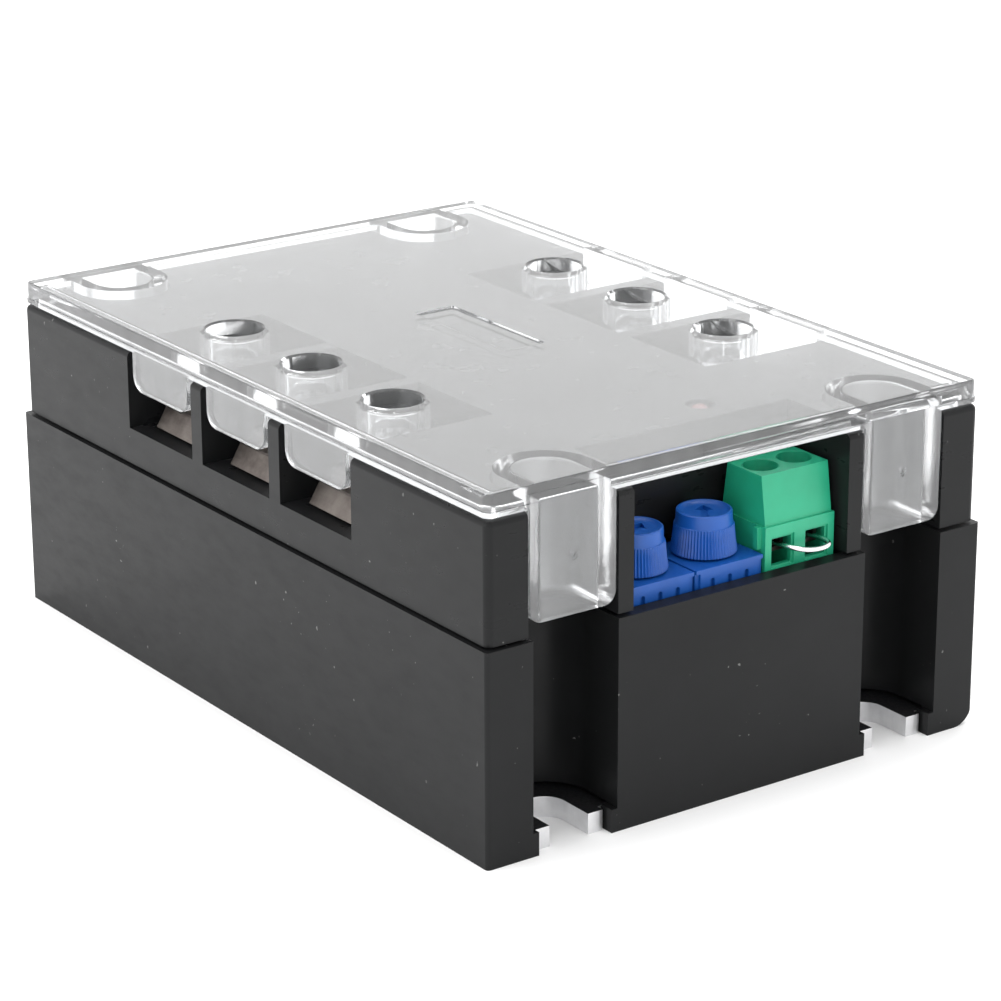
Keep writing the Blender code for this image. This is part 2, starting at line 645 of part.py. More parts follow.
def add_plug(cover, name, x, y, side):
    """A half-round shell with a flat front, closed by the cover's plate and open below."""
    front = FLANGE_HALF_L - COVER_INSET
    reach = front - CHANNEL_Y
    plug = channel_solid(
        f"plug_{name}", CHANNEL_RADIUS, reach, PLUG_BOTTOM, CEILING + COVER_PLATE / 2, x, y, side
    )
    half = CHANNEL_RADIUS + BEYOND
    corner, low = CHANNEL_RADIUS - PLUG_CORNER, PLUG_BOTTOM + PLUG_CORNER
    outline = arc((-corner, low), PLUG_CORNER, 180, 270, 4)
    outline += arc((corner, low), PLUG_CORNER, 270, 360, 4)
    side_low, top = PLUG_BOTTOM + BEYOND, COVER_TOP + BEYOND
    outline += [(half, side_low), (half, top), (-half, top), (-half, side_low)]
    y0, y1 = sorted((y - side * 2 * BEYOND, side * (HALF_L + BEYOND)))
    trim = prism(f"plug_trim_{name}", outline, y0, y1, plane="XZ", centre=(x, 0.0))
    boolean(plug, trim, "INTERSECT")
    boolean(cover, plug, "UNION")
    cavity = channel_solid(
        f"plug_cavity_{name}", CHANNEL_RADIUS - PLUG_WALL, reach - PLUG_FRONT_WALL,
        PLUG_BOTTOM - BEYOND, CEILING - GAP / 2, x, y, side,
    )
    boolean(cover, cavity)


# ---- Power terminals ----------------------------------------------------------------------
def make_power_pole(name, side, y):
    make_terminal_bar(name, side, y)
    half = WASHER_SIDE / 2
    washer = prism(
        f"clamp_washer_{name}", rounded_rectangle(half, half, WASHER_CORNER, steps=3),
        WASHER_BOTTOM, WASHER_TOP, NICKEL, centre=(side * TERMINAL_X, y),
    )
    hole = cylinder(
        f"washer_hole_{name}", SCREW_RADIUS + SCREW_CLEARANCE, WASHER_BOTTOM - BEYOND,
        WASHER_TOP + BEYOND, (side * TERMINAL_X, y), segments=20,
    )
    boolean(washer, hole)
    make_terminal_screw(name, side, y)


def make_terminal_bar(name, side, y):
    """Pocket bar with a sloped nose, a riser down through the deck and a foot on its tile."""
    inner = BAR_INNER_X
    riser = inner + RISER_THICKNESS
    foot = riser + FOOT_LENGTH
    profile = [
        (inner, BAR_TOP),
        (inner, ON_TILE),
        (foot, ON_TILE),
        (foot, ON_TILE + FOOT_THICKNESS),
        (riser, ON_TILE + FOOT_THICKNESS),
        (riser, BAR_BOTTOM),
        (BAR_NOSE_X, BAR_BOTTOM),
        (BAR_NOSE_X - BAR_NOSE_RUN, BAR_TOP),
    ]
    outline = [(side * u, v) for u, v in profile]
    bar = prism(
        f"power_terminal_{name}", outline, y - BAR_WIDTH / 2, y + BAR_WIDTH / 2, NICKEL, plane="XZ"
    )
    hole = cylinder(
        f"bar_hole_{name}", SCREW_RADIUS + SCREW_CLEARANCE, BAR_BOTTOM - GAP,
        BAR_TOP + BEYOND, (side * TERMINAL_X, y), segments=20,
    )
    boolean(bar, hole)


def make_terminal_screw(name, side, y):
    profile = [
        (0.0, HEAD_TOP),
        (SCREW_HEAD_RADIUS - HEAD_CHAMFER, HEAD_TOP),
        (SCREW_HEAD_RADIUS, HEAD_TOP - HEAD_CHAMFER),
        (SCREW_HEAD_RADIUS, HEAD_BOTTOM),
        (SCREW_RADIUS, HEAD_BOTTOM),
        (SCREW_RADIUS, SHANK_BOTTOM + TIP_CHAMFER),
        (SCREW_RADIUS - TIP_CHAMFER, SHANK_BOTTOM),
        (0.0, SHANK_BOTTOM),
    ]
    centre = (side * TERMINAL_X, y)
    screw = turned(f"terminal_screw_{name}", profile, centre, STEEL, steps=24)
    cut_cross(screw, name, centre)


def cut_cross(screw, name, centre):
    x, y = centre
    long, short = CROSS_LENGTH / 2, CROSS_WIDTH / 2
    for blade, (u, v) in (("a", (long, short)), ("b", (short, long))):
        cutter = box(
            f"recess_{name}_{blade}",
            (x - u, y - v, HEAD_TOP - CROSS_DEPTH),
            (x + u, y + v, HEAD_TOP + BEYOND),
        )
        boolean(screw, cutter)


# ---- Control compartment ------------------------------------------------------------------
def make_trimmer(number, x):
    half = TRIMMER_SIDE / 2
    body = box(
        f"trimmer_body_{number}",
        (x - half, CONTROL_FRONT_Y, ON_BOARD),
        (x + half, CONTROL_FRONT_Y + TRIMMER_SIDE, TRIMMER_TOP),
        BLUE,
    )
    for i in range(TRIMMER_GROOVES):
        at = x + (i - (TRIMMER_GROOVES - 1) / 2) * GROOVE_PITCH
        groove = box(
            f"groove_{number}_{i}",
            (at - GROOVE_WIDTH / 2, CONTROL_FRONT_Y - BEYOND, GROOVE_TOP - GROOVE_LENGTH),
            (at + GROOVE_WIDTH / 2, CONTROL_FRONT_Y + GROOVE_DEPTH, GROOVE_TOP),
        )
        boolean(body, groove)
    for i, side in enumerate((-1, 1)):
        x0, x1 = sorted((x + side * (half + BEYOND), x + side * (half - REBATE_WIDTH)))
        rebate = box(
            f"rebate_{number}_{i}",
            (x0, CONTROL_FRONT_Y - BEYOND, ON_BOARD - BEYOND),
            (x1, CONTROL_FRONT_Y + REBATE_DEPTH, TRIMMER_TOP - REBATE_BELOW_TOP),
        )
        boolean(body, rebate)
    socket = cylinder(
        f"trimmer_socket_{number}", SPIGOT_RADIUS + GAP, KNOB_BOTTOM - SPIGOT_LENGTH - GAP,
        TRIMMER_TOP + BEYOND, (x, TRIMMER_Y),
    )
    boolean(body, socket)
    for i, (px, py) in enumerate(trimmer_pins(x)):
        pin = cylinder(
            f"trimmer_pin_{number}_{i}", HEADER_PIN, PIN_TIP, ON_BOARD + GAP,
            (px, py), segments=8,
        )
        boolean(body, pin, "UNION")
    make_knob(number, x)


def trimmer_pins(x):
    rear, front = TRIMMER_Y + TRIMMER_PIN_OFFSET, TRIMMER_Y - TRIMMER_PIN_OFFSET
    return [(x - HEADER_PITCH, rear), (x, front), (x + HEADER_PITCH, rear)]


def make_knob(number, x):
    shoulder = KNOB_BOTTOM + KNOB_SKIRT_HEIGHT
    profile = [
        (0.0, KNOB_TOP),
        (KNOB_TOP_RADIUS, KNOB_TOP),
        (KNOB_TOP_RADIUS + KNOB_DRAFT, shoulder),
        (KNOB_SKIRT_RADIUS, shoulder),
        (KNOB_BASE_RADIUS, KNOB_BOTTOM),
        (SPIGOT_RADIUS, KNOB_BOTTOM),
        (SPIGOT_RADIUS, KNOB_BOTTOM - SPIGOT_LENGTH),
        (0.0, KNOB_BOTTOM - SPIGOT_LENGTH),
    ]
    knob = turned(f"trimmer_knob_{number}", profile, (x, TRIMMER_Y), BLUE, steps=36)
    slot = box(
        f"knob_slot_{number}",
        (x - KNOB_SLOT / 2, TRIMMER_Y - KNOB_SLOT_LENGTH / 2, KNOB_TOP - KNOB_SLOT),
        (x + KNOB_SLOT / 2, TRIMMER_Y + KNOB_SLOT_LENGTH / 2, KNOB_TOP + BEYOND),
    )
    boolean(knob, slot)


def make_control_block():
    half = BLOCK_WIDTH / 2
    block = box(
        "control_block",
        (BLOCK_X - half, CONTROL_FRONT_Y, ON_BOARD),
        (BLOCK_X + half, BLOCK_BACK_Y, BLOCK_LEDGE),
        GREEN,
    )
    head_front = CONTROL_FRONT_Y + BLOCK_HEAD_INSET
    head_back = BLOCK_BACK_Y - BLOCK_HEAD_INSET / 2
    outline = [
        (head_front, BLOCK_LEDGE - GAP),
        (head_front + GAP / 2, BLOCK_LEDGE),
        (head_front + BLOCK_TAPER, BLOCK_TOP),
        (head_back - BLOCK_TAPER, BLOCK_TOP),
        (head_back - GAP / 2, BLOCK_LEDGE),
        (head_back - GAP / 2, BLOCK_LEDGE - GAP),
    ]
    inset = half - BLOCK_HEAD_INSET
    head = prism("block_head", outline, BLOCK_X - inset, BLOCK_X + inset, plane="YZ")
    boolean(block, head, "UNION")
    tongue_y = CONTROL_FRONT_Y + TONGUE_INSET
    tongue = box(
        "block_tongue",
        (BLOCK_X - half - TONGUE_REACH, tongue_y, TRIMMER_TOP + GAP),
        (BLOCK_X - half + TONGUE_REACH, tongue_y + TONGUE_WIDTH, BLOCK_LEDGE),
    )
    boolean(block, tongue, "UNION")
    for number, x in enumerate(POLE_X, 1):
        cut_pole(block, number, x)
        make_pole(number, x)


def cut_pole(block, number, x):
    """Screw bore, neck, clamp cavity, wire window and pin slot of one control pole."""
    bore = cylinder(
        f"pole_bore_{number}", POLE_BORE, POLE_SEAT, BLOCK_TOP + BEYOND, (x, POLE_SCREW_Y)
    )
    neck = cylinder(
        f"pole_neck_{number}", POLE_SHANK_RADIUS + GAP, CAVITY_TOP - GAP, POLE_SEAT + GAP,
        (x, POLE_SCREW_Y), segments=16,
    )
    half = CLAMP_WIDTH / 2 + GAP
    cavity = box(
        f"pole_cavity_{number}",
        (x - half, CONTROL_FRONT_Y + BLOCK_WALL, ON_BOARD + BLOCK_WALL),
        (x + half, BLOCK_BACK_Y - BLOCK_WALL, CAVITY_TOP),
    )
    window = box(
        f"pole_window_{number}",
        (x - WINDOW_WIDTH / 2, CONTROL_FRONT_Y - BEYOND, WINDOW_BOTTOM),
        (x + WINDOW_WIDTH / 2, CONTROL_FRONT_Y + BLOCK_WALL + GAP, WINDOW_TOP),
    )
    slot = box(
        f"pole_pin_slot_{number}",
        (x - PIN_WIDTH / 2 - GAP, PIN_Y - PIN_THICKNESS / 2 - GAP, ON_BOARD - BEYOND),
        (x + PIN_WIDTH / 2 + GAP, PIN_BACK_Y + GAP, ON_BOARD + BLOCK_WALL + GAP),
    )
    for cutter in (bore, neck, cavity, window, slot):
        boolean(block, cutter)


def make_pole(number, x):
    head_low = POLE_SEAT + GAP
    head_top = head_low + POLE_HEAD_HEIGHT
    tip = STRIP_TOP + 2 * GAP
    profile = [
        (0.0, head_top),
        (POLE_HEAD_RADIUS, head_top),
        (POLE_HEAD_RADIUS, head_low),
        (POLE_SHANK_RADIUS, head_low),
        (POLE_SHANK_RADIUS, tip),
        (0.0, tip),
    ]
    screw = turned(f"control_screw_{number}", profile, (x, POLE_SCREW_Y), STEEL, steps=20)
    slot = box(
        f"control_slot_{number}",
        (x - POLE_HEAD_RADIUS - GAP, POLE_SCREW_Y - POLE_SLOT_WIDTH / 2, head_top - POLE_SLOT_DEPTH),
        (x + POLE_HEAD_RADIUS + GAP, POLE_SCREW_Y + POLE_SLOT_WIDTH / 2, head_top + BEYOND),
    )
    boolean(screw, slot)
    make_clamp(number, x)
    make_pole_pin(number, x)


def make_clamp(number, x):
    """A rising cage: its floor lifts the wire against the contact strip."""
    half = CLAMP_WIDTH / 2
    front, back = POLE_SCREW_Y - CLAMP_DEPTH / 2, POLE_SCREW_Y + CLAMP_DEPTH / 2
    clamp = box(
        f"control_clamp_{number}",
        (x - half, front, CLAMP_BOTTOM),
        (x + half, back, CLAMP_TOP),
        NICKEL,
    )
    inner = half - CLAMP_WALL
    passage = box(
        f"clamp_passage_{number}",
        (x - inner, front - BEYOND, CLAMP_BOTTOM + CLAMP_WALL),
        (x + inner, back + BEYOND, CLAMP_TOP - CLAMP_WALL),
    )
    thread = cylinder(
        f"clamp_thread_{number}", POLE_SHANK_RADIUS + GAP, CLAMP_TOP - CLAMP_WALL - GAP,
        CLAMP_TOP + BEYOND, (x, POLE_SCREW_Y), segments=16,
    )
    boolean(clamp, passage)
    boolean(clamp, thread)


def make_pole_pin(number, x):
    """A contact strip over the wire that turns down into a solder pin."""
    pin_front = PIN_BACK_Y - PIN_THICKNESS
    strip_front = POLE_SCREW_Y - CLAMP_DEPTH / 2 + GAP
    outline = [
        (strip_front, STRIP_BOTTOM),
        (pin_front, STRIP_BOTTOM),
        (pin_front, PIN_TIP),
        (PIN_BACK_Y, PIN_TIP),
        (PIN_BACK_Y, STRIP_TOP),
        (strip_front, STRIP_TOP),
    ]
    prism(
        f"control_pin_{number}", outline, x - PIN_WIDTH / 2, x + PIN_WIDTH / 2, NICKEL, plane="YZ"
    )


def make_wire_link():
    """Bare wire clamped in both poles. It leaves the first window and loops into the second."""
    x1, x2 = POLE_X
    span = x2 - x1
    inside_y = POLE_SCREW_Y + LINK_INSIDE
    straight_y = POLE_SCREW_Y - LINK_INSIDE
    mouth = CONTROL_FRONT_Y
    loop_y = mouth - LINK_REACH
    turn_y = mouth - LINK_REACH / 2
    route = [
        (x1, inside_y, LINK_Z),
        (x1, straight_y, LINK_Z),
        (x1 + 0.02 * span, (straight_y + mouth) / 2, LINK_Z),
        (x1 + 0.18 * span, turn_y, LINK_Z - LINK_SAG / 4),
        (x1 + 0.5 * span, loop_y + LINK_SAG / 5, LINK_Z - LINK_SAG * 0.8),
        (x1 + 0.88 * span, loop_y, LINK_Z - LINK_SAG),
        (x2 + 0.1 * span, loop_y + LINK_SAG * 0.6, LINK_Z - LINK_SAG * 0.65),
        (x2 + 0.11 * span, mouth - LINK_SAG / 5, LINK_Z - LINK_SAG / 5),
        (x2 + 0.01 * span, (straight_y + mouth) / 2, LINK_Z),
        (x2, straight_y, LINK_Z),
        (x2, inside_y, LINK_Z),
    ]
    curve = bpy.data.curves.new("wire_link", "CURVE")
    curve.dimensions = "3D"
    curve.bevel_depth = LINK_RADIUS
    curve.bevel_resolution = 2
    curve.use_fill_caps = True
    spline = curve.splines.new("POLY")
    points = smooth_route([Vector(p) for p in route], 4)
    spline.points.add(len(points) - 1)
    for point, at in zip(spline.points, points):
        point.co = (*at, 1.0)
    link = bpy.data.objects.new("wire_link", curve)
    curve.materials.append(TINNED)
    PARTS.objects.link(link)


def smooth_route(points, steps):
    """A Catmull-Rom curve through the points, with a number of steps between each two."""
    padded = [points[0]] + points + [points[-1]]
    route = []
    for i in range(len(points) - 1):
        a, b, c, d = padded[i:i + 4]
        for step in range(steps):
            t = step / steps
            route.append(
                0.5 * (2 * b + (c - a) * t + (2 * a - 5 * b + 4 * c - d) * t**2
                       + (3 * b - a - 3 * c + d) * t**3)
            )
    return route + [points[-1]]


# ---- Inside -------------------------------------------------------------------------------
def on_board(name, size, x, y, material):
    low = (x - size[0] / 2, y - size[1] / 2, ON_BOARD)
    high = (x + size[0] / 2, y + size[1] / 2, ON_BOARD + size[2])
    return box(name, low, high, material)


def make_power_stage():
    for i, y in enumerate(PHASE_Y, 1):
        box(
            f"ceramic_substrate_{i}", (-TILE_HALF_X, y - TILE_HALF_Y, ABOVE_PLATE),
            (TILE_HALF_X, y + TILE_HALF_Y, TILE_TOP), CERAMIC,
        )
        for k, side in enumerate((-1, 1)):
            x = side * DIE_X
            box(
                f"thyristor_die_{2 * i - 1 + k}",
                (x - DIE_SIZE[0] / 2, y - DIE_SIZE[1] / 2, ON_TILE),
                (x + DIE_SIZE[0] / 2, y + DIE_SIZE[1] / 2, ON_TILE + DIE_SIZE[2]),
                SILICON,
            )
        make_gate_header(i, y)


def header_pins(y):
    return [y + (k - (HEADER_PINS - 1) / 2) * HEADER_PITCH for k in range(HEADER_PINS)]


def make_gate_header(number, y):
    half_x, half_y = HEADER_SIZE[0] / 2, HEADER_SIZE[1] / 2
    top = BOARD_BOTTOM - GAP
    low = top - HEADER_SIZE[2]
    header = box(
        f"gate_header_{number}", (-half_x, y - half_y, low), (half_x, y + half_y, top), BLACK
    )
    for k, at in enumerate(header_pins(y)):
        pin = box(
            f"gate_pin_{number}_{k}",
            (-HEADER_PIN, at - HEADER_PIN, ON_TILE),
            (HEADER_PIN, at + HEADER_PIN, BOARD_TOP + PIN_STANDOUT),
        )
        boolean(header, pin, "UNION")


def make_potting():
    half_w = HALF_W - WALL - GAP
    half_l = HALF_L - WALL - GAP
    potting = box(
        "potting", (-half_w, -half_l, POTTING_BOTTOM), (half_w, half_l, POTTING_TOP), POTTING
    )
    for name, x, y, side in channels():
        tower = channel_solid(
            f"potting_tower_{name}", CHANNEL_RADIUS + CHANNEL_WALL + GAP, CHANNEL_RADIUS + BEYOND,
            POTTING_BOTTOM - BEYOND, POTTING_TOP + BEYOND, x, y, side,
        )
        boolean(potting, tower)
    for name, side, y in poles():
        x0, x1 = across(side, BAR_INNER_X - GAP, BAR_INNER_X + RISER_THICKNESS + GAP)
        slot = box(
            f"potting_slot_{name}",
            (x0, y - BAR_WIDTH / 2 - GAP, POTTING_BOTTOM - BEYOND),
            (x1, y + BAR_WIDTH / 2 + GAP, POTTING_TOP + BEYOND),
        )
        boolean(potting, slot)
    for i, y in enumerate(PHASE_Y, 1):
        reach = HEADER_SIZE[1] / 2 + GAP
        slot = box(
            f"potting_header_slot_{i}",
            (-HEADER_PIN - GAP, y - reach, POTTING_BOTTOM - BEYOND),
            (HEADER_PIN + GAP, y + reach, POTTING_TOP + BEYOND),
        )
        boolean(potting, slot)


def make_control_board():
    board = box(
        "control_board",
        (-BOARD_HALF_WIDTH, BOARD_FRONT_Y, BOARD_BOTTOM),
        (BOARD_HALF_WIDTH, BOARD_REAR_Y, BOARD_TOP),
        BOARD,
    )
    holes = [(0.0, at) for y in PHASE_Y for at in header_pins(y)]
    holes += [pin for x in TRIMMER_X for pin in trimmer_pins(x)]
    for i, centre in enumerate(holes):
        hole = cylinder(
            f"board_hole_{i}", BOARD_PIN_HOLE, BOARD_BOTTOM - BEYOND, BOARD_TOP + BEYOND, centre,
            segments=8,
        )
        boolean(board, hole)
    for i, x in enumerate(POLE_X):
        hole = box(
            f"board_slot_{i}",
            (x - PIN_WIDTH / 2 - GAP, PIN_Y - PIN_THICKNESS / 2 - GAP, BOARD_BOTTOM - BEYOND),
            (x + PIN_WIDTH / 2 + GAP, PIN_BACK_Y + GAP, BOARD_TOP + BEYOND),
        )
        boolean(board, hole)


def make_board_parts():
    for i, y in enumerate(PHASE_Y, 1):
        on_board(f"optocoupler_{i}", OPTO_SIZE, OPTO_X, y, BLACK)
    on_board("controller_chip", CHIP_SIZE, CHIP_X, 0.0, BLACK)
    cylinder(
        "supply_capacitor", CAPACITOR_RADIUS, ON_BOARD, ON_BOARD + CAPACITOR_HEIGHT,
        (CHIP_X, CAPACITOR_Y), CAN,
    )
    make_led()


def make_led():
    """An indicator on long legs, with its dome level with the deck."""
    low = DECK_HEIGHT - LED_HEIGHT
    dome = arc((0.0, DECK_HEIGHT - LED_RADIUS), LED_RADIUS, 90, 0, 5)
    profile = [(abs(u) if i else 0.0, v) for i, (u, v) in enumerate(dome)]
    profile += [(LED_RADIUS, low), (0.0, low)]
    led = turned("status_led", profile, LED_PLACE, LENS, steps=20)
    for k, offset in enumerate((-HEADER_PITCH / 4, HEADER_PITCH / 4)):
        x, y = LED_PLACE
        leg = box(
            f"led_leg_{k}",
            (x + offset - LED_LEG / 2, y - LED_LEG / 2, ON_BOARD),
            (x + offset + LED_LEG / 2, y + LED_LEG / 2, low + GAP),
        )
        boolean(led, leg, "UNION")


clear_scene()
PARTS = collection_of("solid_state_relay")
CUTTERS = collection_of("cutters")
BLACK = plain_material("black_plastic", (0.035, 0.035, 0.037), 0.42)
CLEAR = plain_material("clear_polycarbonate", (0.95, 0.96, 0.97), 0.08, transmission=1.0)
ALUMINIUM = plain_material("milled_aluminium", (0.78, 0.78, 0.79), 0.35, metallic=1.0)
NICKEL = plain_material("nickel_plate", (0.62, 0.57, 0.53), 0.35, metallic=1.0)
STEEL = plain_material("zinc_plated_steel", (0.66, 0.67, 0.69), 0.3, metallic=1.0)
TINNED = plain_material("tinned_wire", (0.8, 0.8, 0.8), 0.25, metallic=1.0)
BLUE = plain_material("blue_plastic", (0.02, 0.12, 0.58), 0.4)
GREEN = plain_material("green_plastic", (0.05, 0.5, 0.3), 0.42)
CERAMIC = plain_material("alumina", (0.9, 0.9, 0.87), 0.5)
SILICON = plain_material("silicon", (0.2, 0.2, 0.24), 0.2, metallic=0.6)
POTTING = plain_material("potting_resin", (0.05, 0.05, 0.055), 0.35)
BOARD = plain_material("circuit_board", (0.03, 0.22, 0.1), 0.45)
CAN = plain_material("capacitor_sleeve", (0.02, 0.02, 0.06), 0.35)
LENS = plain_material("indicator_lens", (0.5, 0.05, 0.04), 0.15)

make_base_plate()
make_lower_housing()
make_upper_housing()
make_cover()
for pole_name, pole_side, pole_y in poles():
    make_power_pole(pole_name, pole_side, pole_y)
for trimmer_number, trimmer_x in enumerate(TRIMMER_X, 1):
    make_trimmer(trimmer_number, trimmer_x)
make_control_block()
make_wire_link()
make_power_stage()
make_potting()
make_control_board()
make_board_parts()
for part in PARTS.objects:
    if part.type == "MESH":
        smooth(part)
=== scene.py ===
"""Looks of the solid state relay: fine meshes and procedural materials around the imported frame."""

import json
import math

import bmesh
import bpy
from mathutils import Matrix, Vector

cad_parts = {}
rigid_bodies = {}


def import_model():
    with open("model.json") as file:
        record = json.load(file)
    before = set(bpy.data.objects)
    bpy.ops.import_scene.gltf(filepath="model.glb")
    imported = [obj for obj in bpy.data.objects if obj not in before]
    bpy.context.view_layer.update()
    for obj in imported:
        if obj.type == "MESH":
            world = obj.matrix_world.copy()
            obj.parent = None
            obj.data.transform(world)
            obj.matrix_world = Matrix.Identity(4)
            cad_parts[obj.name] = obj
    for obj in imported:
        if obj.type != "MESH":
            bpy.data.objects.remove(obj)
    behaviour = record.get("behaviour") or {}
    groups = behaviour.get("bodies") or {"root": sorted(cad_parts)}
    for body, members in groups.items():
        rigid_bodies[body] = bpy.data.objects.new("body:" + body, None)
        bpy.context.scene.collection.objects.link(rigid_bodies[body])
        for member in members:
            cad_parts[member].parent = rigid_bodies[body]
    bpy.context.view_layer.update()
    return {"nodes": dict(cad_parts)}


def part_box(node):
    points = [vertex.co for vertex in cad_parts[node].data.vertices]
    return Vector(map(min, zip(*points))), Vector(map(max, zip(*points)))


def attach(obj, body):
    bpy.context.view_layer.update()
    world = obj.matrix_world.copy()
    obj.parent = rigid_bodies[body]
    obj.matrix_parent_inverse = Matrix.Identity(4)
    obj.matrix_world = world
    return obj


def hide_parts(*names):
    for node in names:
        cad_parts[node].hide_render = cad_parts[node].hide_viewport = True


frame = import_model()

MM = 0.001
GAP = 0.3 * MM
BEYOND = 5.0 * MM  # how far a cutter runs past what it cuts
ON_AXIS = 1e-6  # a smaller radius is a point on the axis
BEVEL_ANGLE = 40.0  # degrees; flatter edges are left as they are

# ---- Places read from the frame -----------------------------------------------------------
LOWER_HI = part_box("lower_housing")[1]
UPPER_LO, UPPER_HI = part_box("upper_housing")
COVER_LO, COVER_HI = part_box("clear_cover")
PLATE_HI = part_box("base_plate")[1]
BLOCK_LO, BLOCK_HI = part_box("control_block")
BOARD_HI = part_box("control_board")[1]
POLES = [f"{prefix}{i}" for prefix in "lt" for i in (1, 2, 3)]

HALF_W, HALF_L = LOWER_HI.x, LOWER_HI.y
UPPER_HALF_W, UPPER_HALF_L = UPPER_HI.x, UPPER_HI.y
PARTING, UPPER_BOTTOM, DECK = LOWER_HI.z, UPPER_LO.z, UPPER_HI.z
FLANGE_W, FLANGE_L = COVER_HI.x, COVER_HI.y
COVER_TOP = COVER_HI.z
COVER_BOTTOM = DECK + GAP
PLUG_BOTTOM = COVER_LO.z
ABOVE_PLATE = PLATE_HI.z + GAP

# ---- Sizes of the housing -----------------------------------------------------------------
WALL = 2.0 * MM
CHANNEL_R = 5.9 * MM
CHANNEL_WALL = 1.8 * MM
EAR_HALF = 4.8 * MM
NOTCH_R = 2.7 * MM
BAY_HALF = 15.7 * MM
POST = 2.15 * MM
BAY_REAR = BLOCK_HI.y + 1.0 * MM
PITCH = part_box("power_terminal_l1")[0].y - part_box("power_terminal_l2")[0].y
POCKET_WIDTH = PITCH - 2.4 * MM
POCKET_FLOOR = DECK - 9.9 * MM
POCKET_INNER = 15.9 * MM
UPPER_CHANNEL_R = CHANNEL_R + GAP
CHANNEL_X = BAY_HALF + POST + UPPER_CHANNEL_R
CHANNEL_Y = HALF_L - CHANNEL_R
LOWER_CORNER = 0.5 * MM
LOWER_EDGE = 2.9 * MM
UPPER_CORNER = 0.9 * MM

# ---- Sizes of the cover -------------------------------------------------------------------
COVER_PLATE = 2.0 * MM
COVER_WALL = 2.0 * MM
COVER_LEDGE = 0.15 * MM
COVER_FLANGE = 0.7 * MM
COLLAR_BORE = 3.6 * MM
COLLAR_WALL = 0.8 * MM
COLLAR_DROP = 5.1 * MM
TAB_WIDTH = POCKET_WIDTH - 2.2 * MM
TAB_THICKNESS = 1.4 * MM
TAB_DROP = 4.9 * MM
TAB_CORNER = 2.0 * MM
PLUG_WALL = 1.8 * MM
PLUG_FRONT = 1.5 * MM
PLUG_CORNER = 1.6 * MM
PAD = (5.9 * MM, 20.0 * MM, 0.25 * MM)

# ---- Sizes of the terminals and screws ----------------------------------------------------
BAR_THICKNESS = 2.6 * MM
BAR_NOSE_RUN = 1.6 * MM
BAR_HOLE = 2.3 * MM  # radius, in the bar and in the washer
RISER = 2.0 * MM
FOOT_REACH = 6.0 * MM  # foot end beyond the bar's inner end
FOOT_THICKNESS = 1.0 * MM
HEAD_HEIGHT = 2.6 * MM
POLE_HEAD_HEIGHT = 1.9 * MM
SHANK_WELL = 2.6 * MM  # radius
LED_HOLE = 1.8 * MM  # radius

# ---- Sizes of the knobs and the wire ------------------------------------------------------
KNOB_HEIGHT = 5.0 * MM
KNOB_SHOULDER = 3.4 * MM  # top of the ribs above the knob's base
RIB_DEPTH = 0.16 * MM
GROOVE_PITCH = 2.5 * MM
WIRE_RADIUS = 0.32 * MM
WIRE_SAG = 0.55 * MM

SCRATCH = bpy.data.collections.new("scratch")
bpy.context.scene.collection.children.link(SCRATCH)
MADE = bpy.data.collections.new("made")
bpy.context.scene.collection.children.link(MADE)


# ---- Mesh tools ---------------------------------------------------------------------------
def new_object(name, mesh, location=(0, 0, 0)):
    obj = bpy.data.objects.new(name, mesh)
    obj.location = location
    SCRATCH.objects.link(obj)
    return obj


def box(name, low, high):
    low, high = Vector(low), Vector(high)
    shape = bmesh.new()
    bmesh.ops.create_cube(shape, size=1.0)
    bmesh.ops.scale(shape, vec=high - low, verts=shape.verts)
    mesh = bpy.data.meshes.new(name)
    shape.to_mesh(mesh)
    shape.free()
    return new_object(name, mesh, (low + high) / 2)


def cylinder(name, radius, low, high, centre, segments=64):
    shape = bmesh.new()
    bmesh.ops.create_cone(
        shape, cap_ends=True, segments=segments, radius1=radius, radius2=radius,
        depth=high - low,
    )
    mesh = bpy.data.meshes.new(name)
    shape.to_mesh(mesh)
    shape.free()
    return new_object(name, mesh, (centre[0], centre[1], (low + high) / 2))


def prism(name, outline, low, high, plane="XY", centre=(0.0, 0.0)):
    """A flat outline with a thickness: along Z, or along Y in plane XZ, or along X in plane YZ."""
    shape = bmesh.new()
    cap = [shape.verts.new((u, v, low)) for u, v in outline]
    face = shape.faces.new(cap)
    top = bmesh.ops.extrude_face_region(shape, geom=[face])
    moved = [v for v in top["geom"] if isinstance(v, bmesh.types.BMVert)]
    bmesh.ops.translate(shape, vec=(0, 0, high - low), verts=moved)
    for vert in shape.verts:
        u, v, w = vert.co
        if plane == "XY":
            vert.co = (centre[0] + u, centre[1] + v, w)
        elif plane == "XZ":
            vert.co = (centre[0] + u, w, centre[1] + v)
        else:
            vert.co = (w, centre[0] + u, centre[1] + v)
    bmesh.ops.recalc_face_normals(shape, faces=shape.faces)
    mesh = bpy.data.meshes.new(name)
    shape.to_mesh(mesh)
    shape.free()
    return new_object(name, mesh)


def join_rings(shape, rings, steps):
    """Faces between rings that run from top to bottom. A ring of one vertex is a tip."""
    for above, below in zip(rings, rings[1:]):
        for i in range(steps):
            k = (i + 1) % steps
            if len(above) == 1:
                shape.faces.new((above[0], below[i], below[k]))
            elif len(below) == 1:
                shape.faces.new((above[i], below[0], above[k]))
            else:
                shape.faces.new((above[i], below[i], below[k], above[k]))
    bmesh.ops.recalc_face_normals(shape, faces=shape.faces)


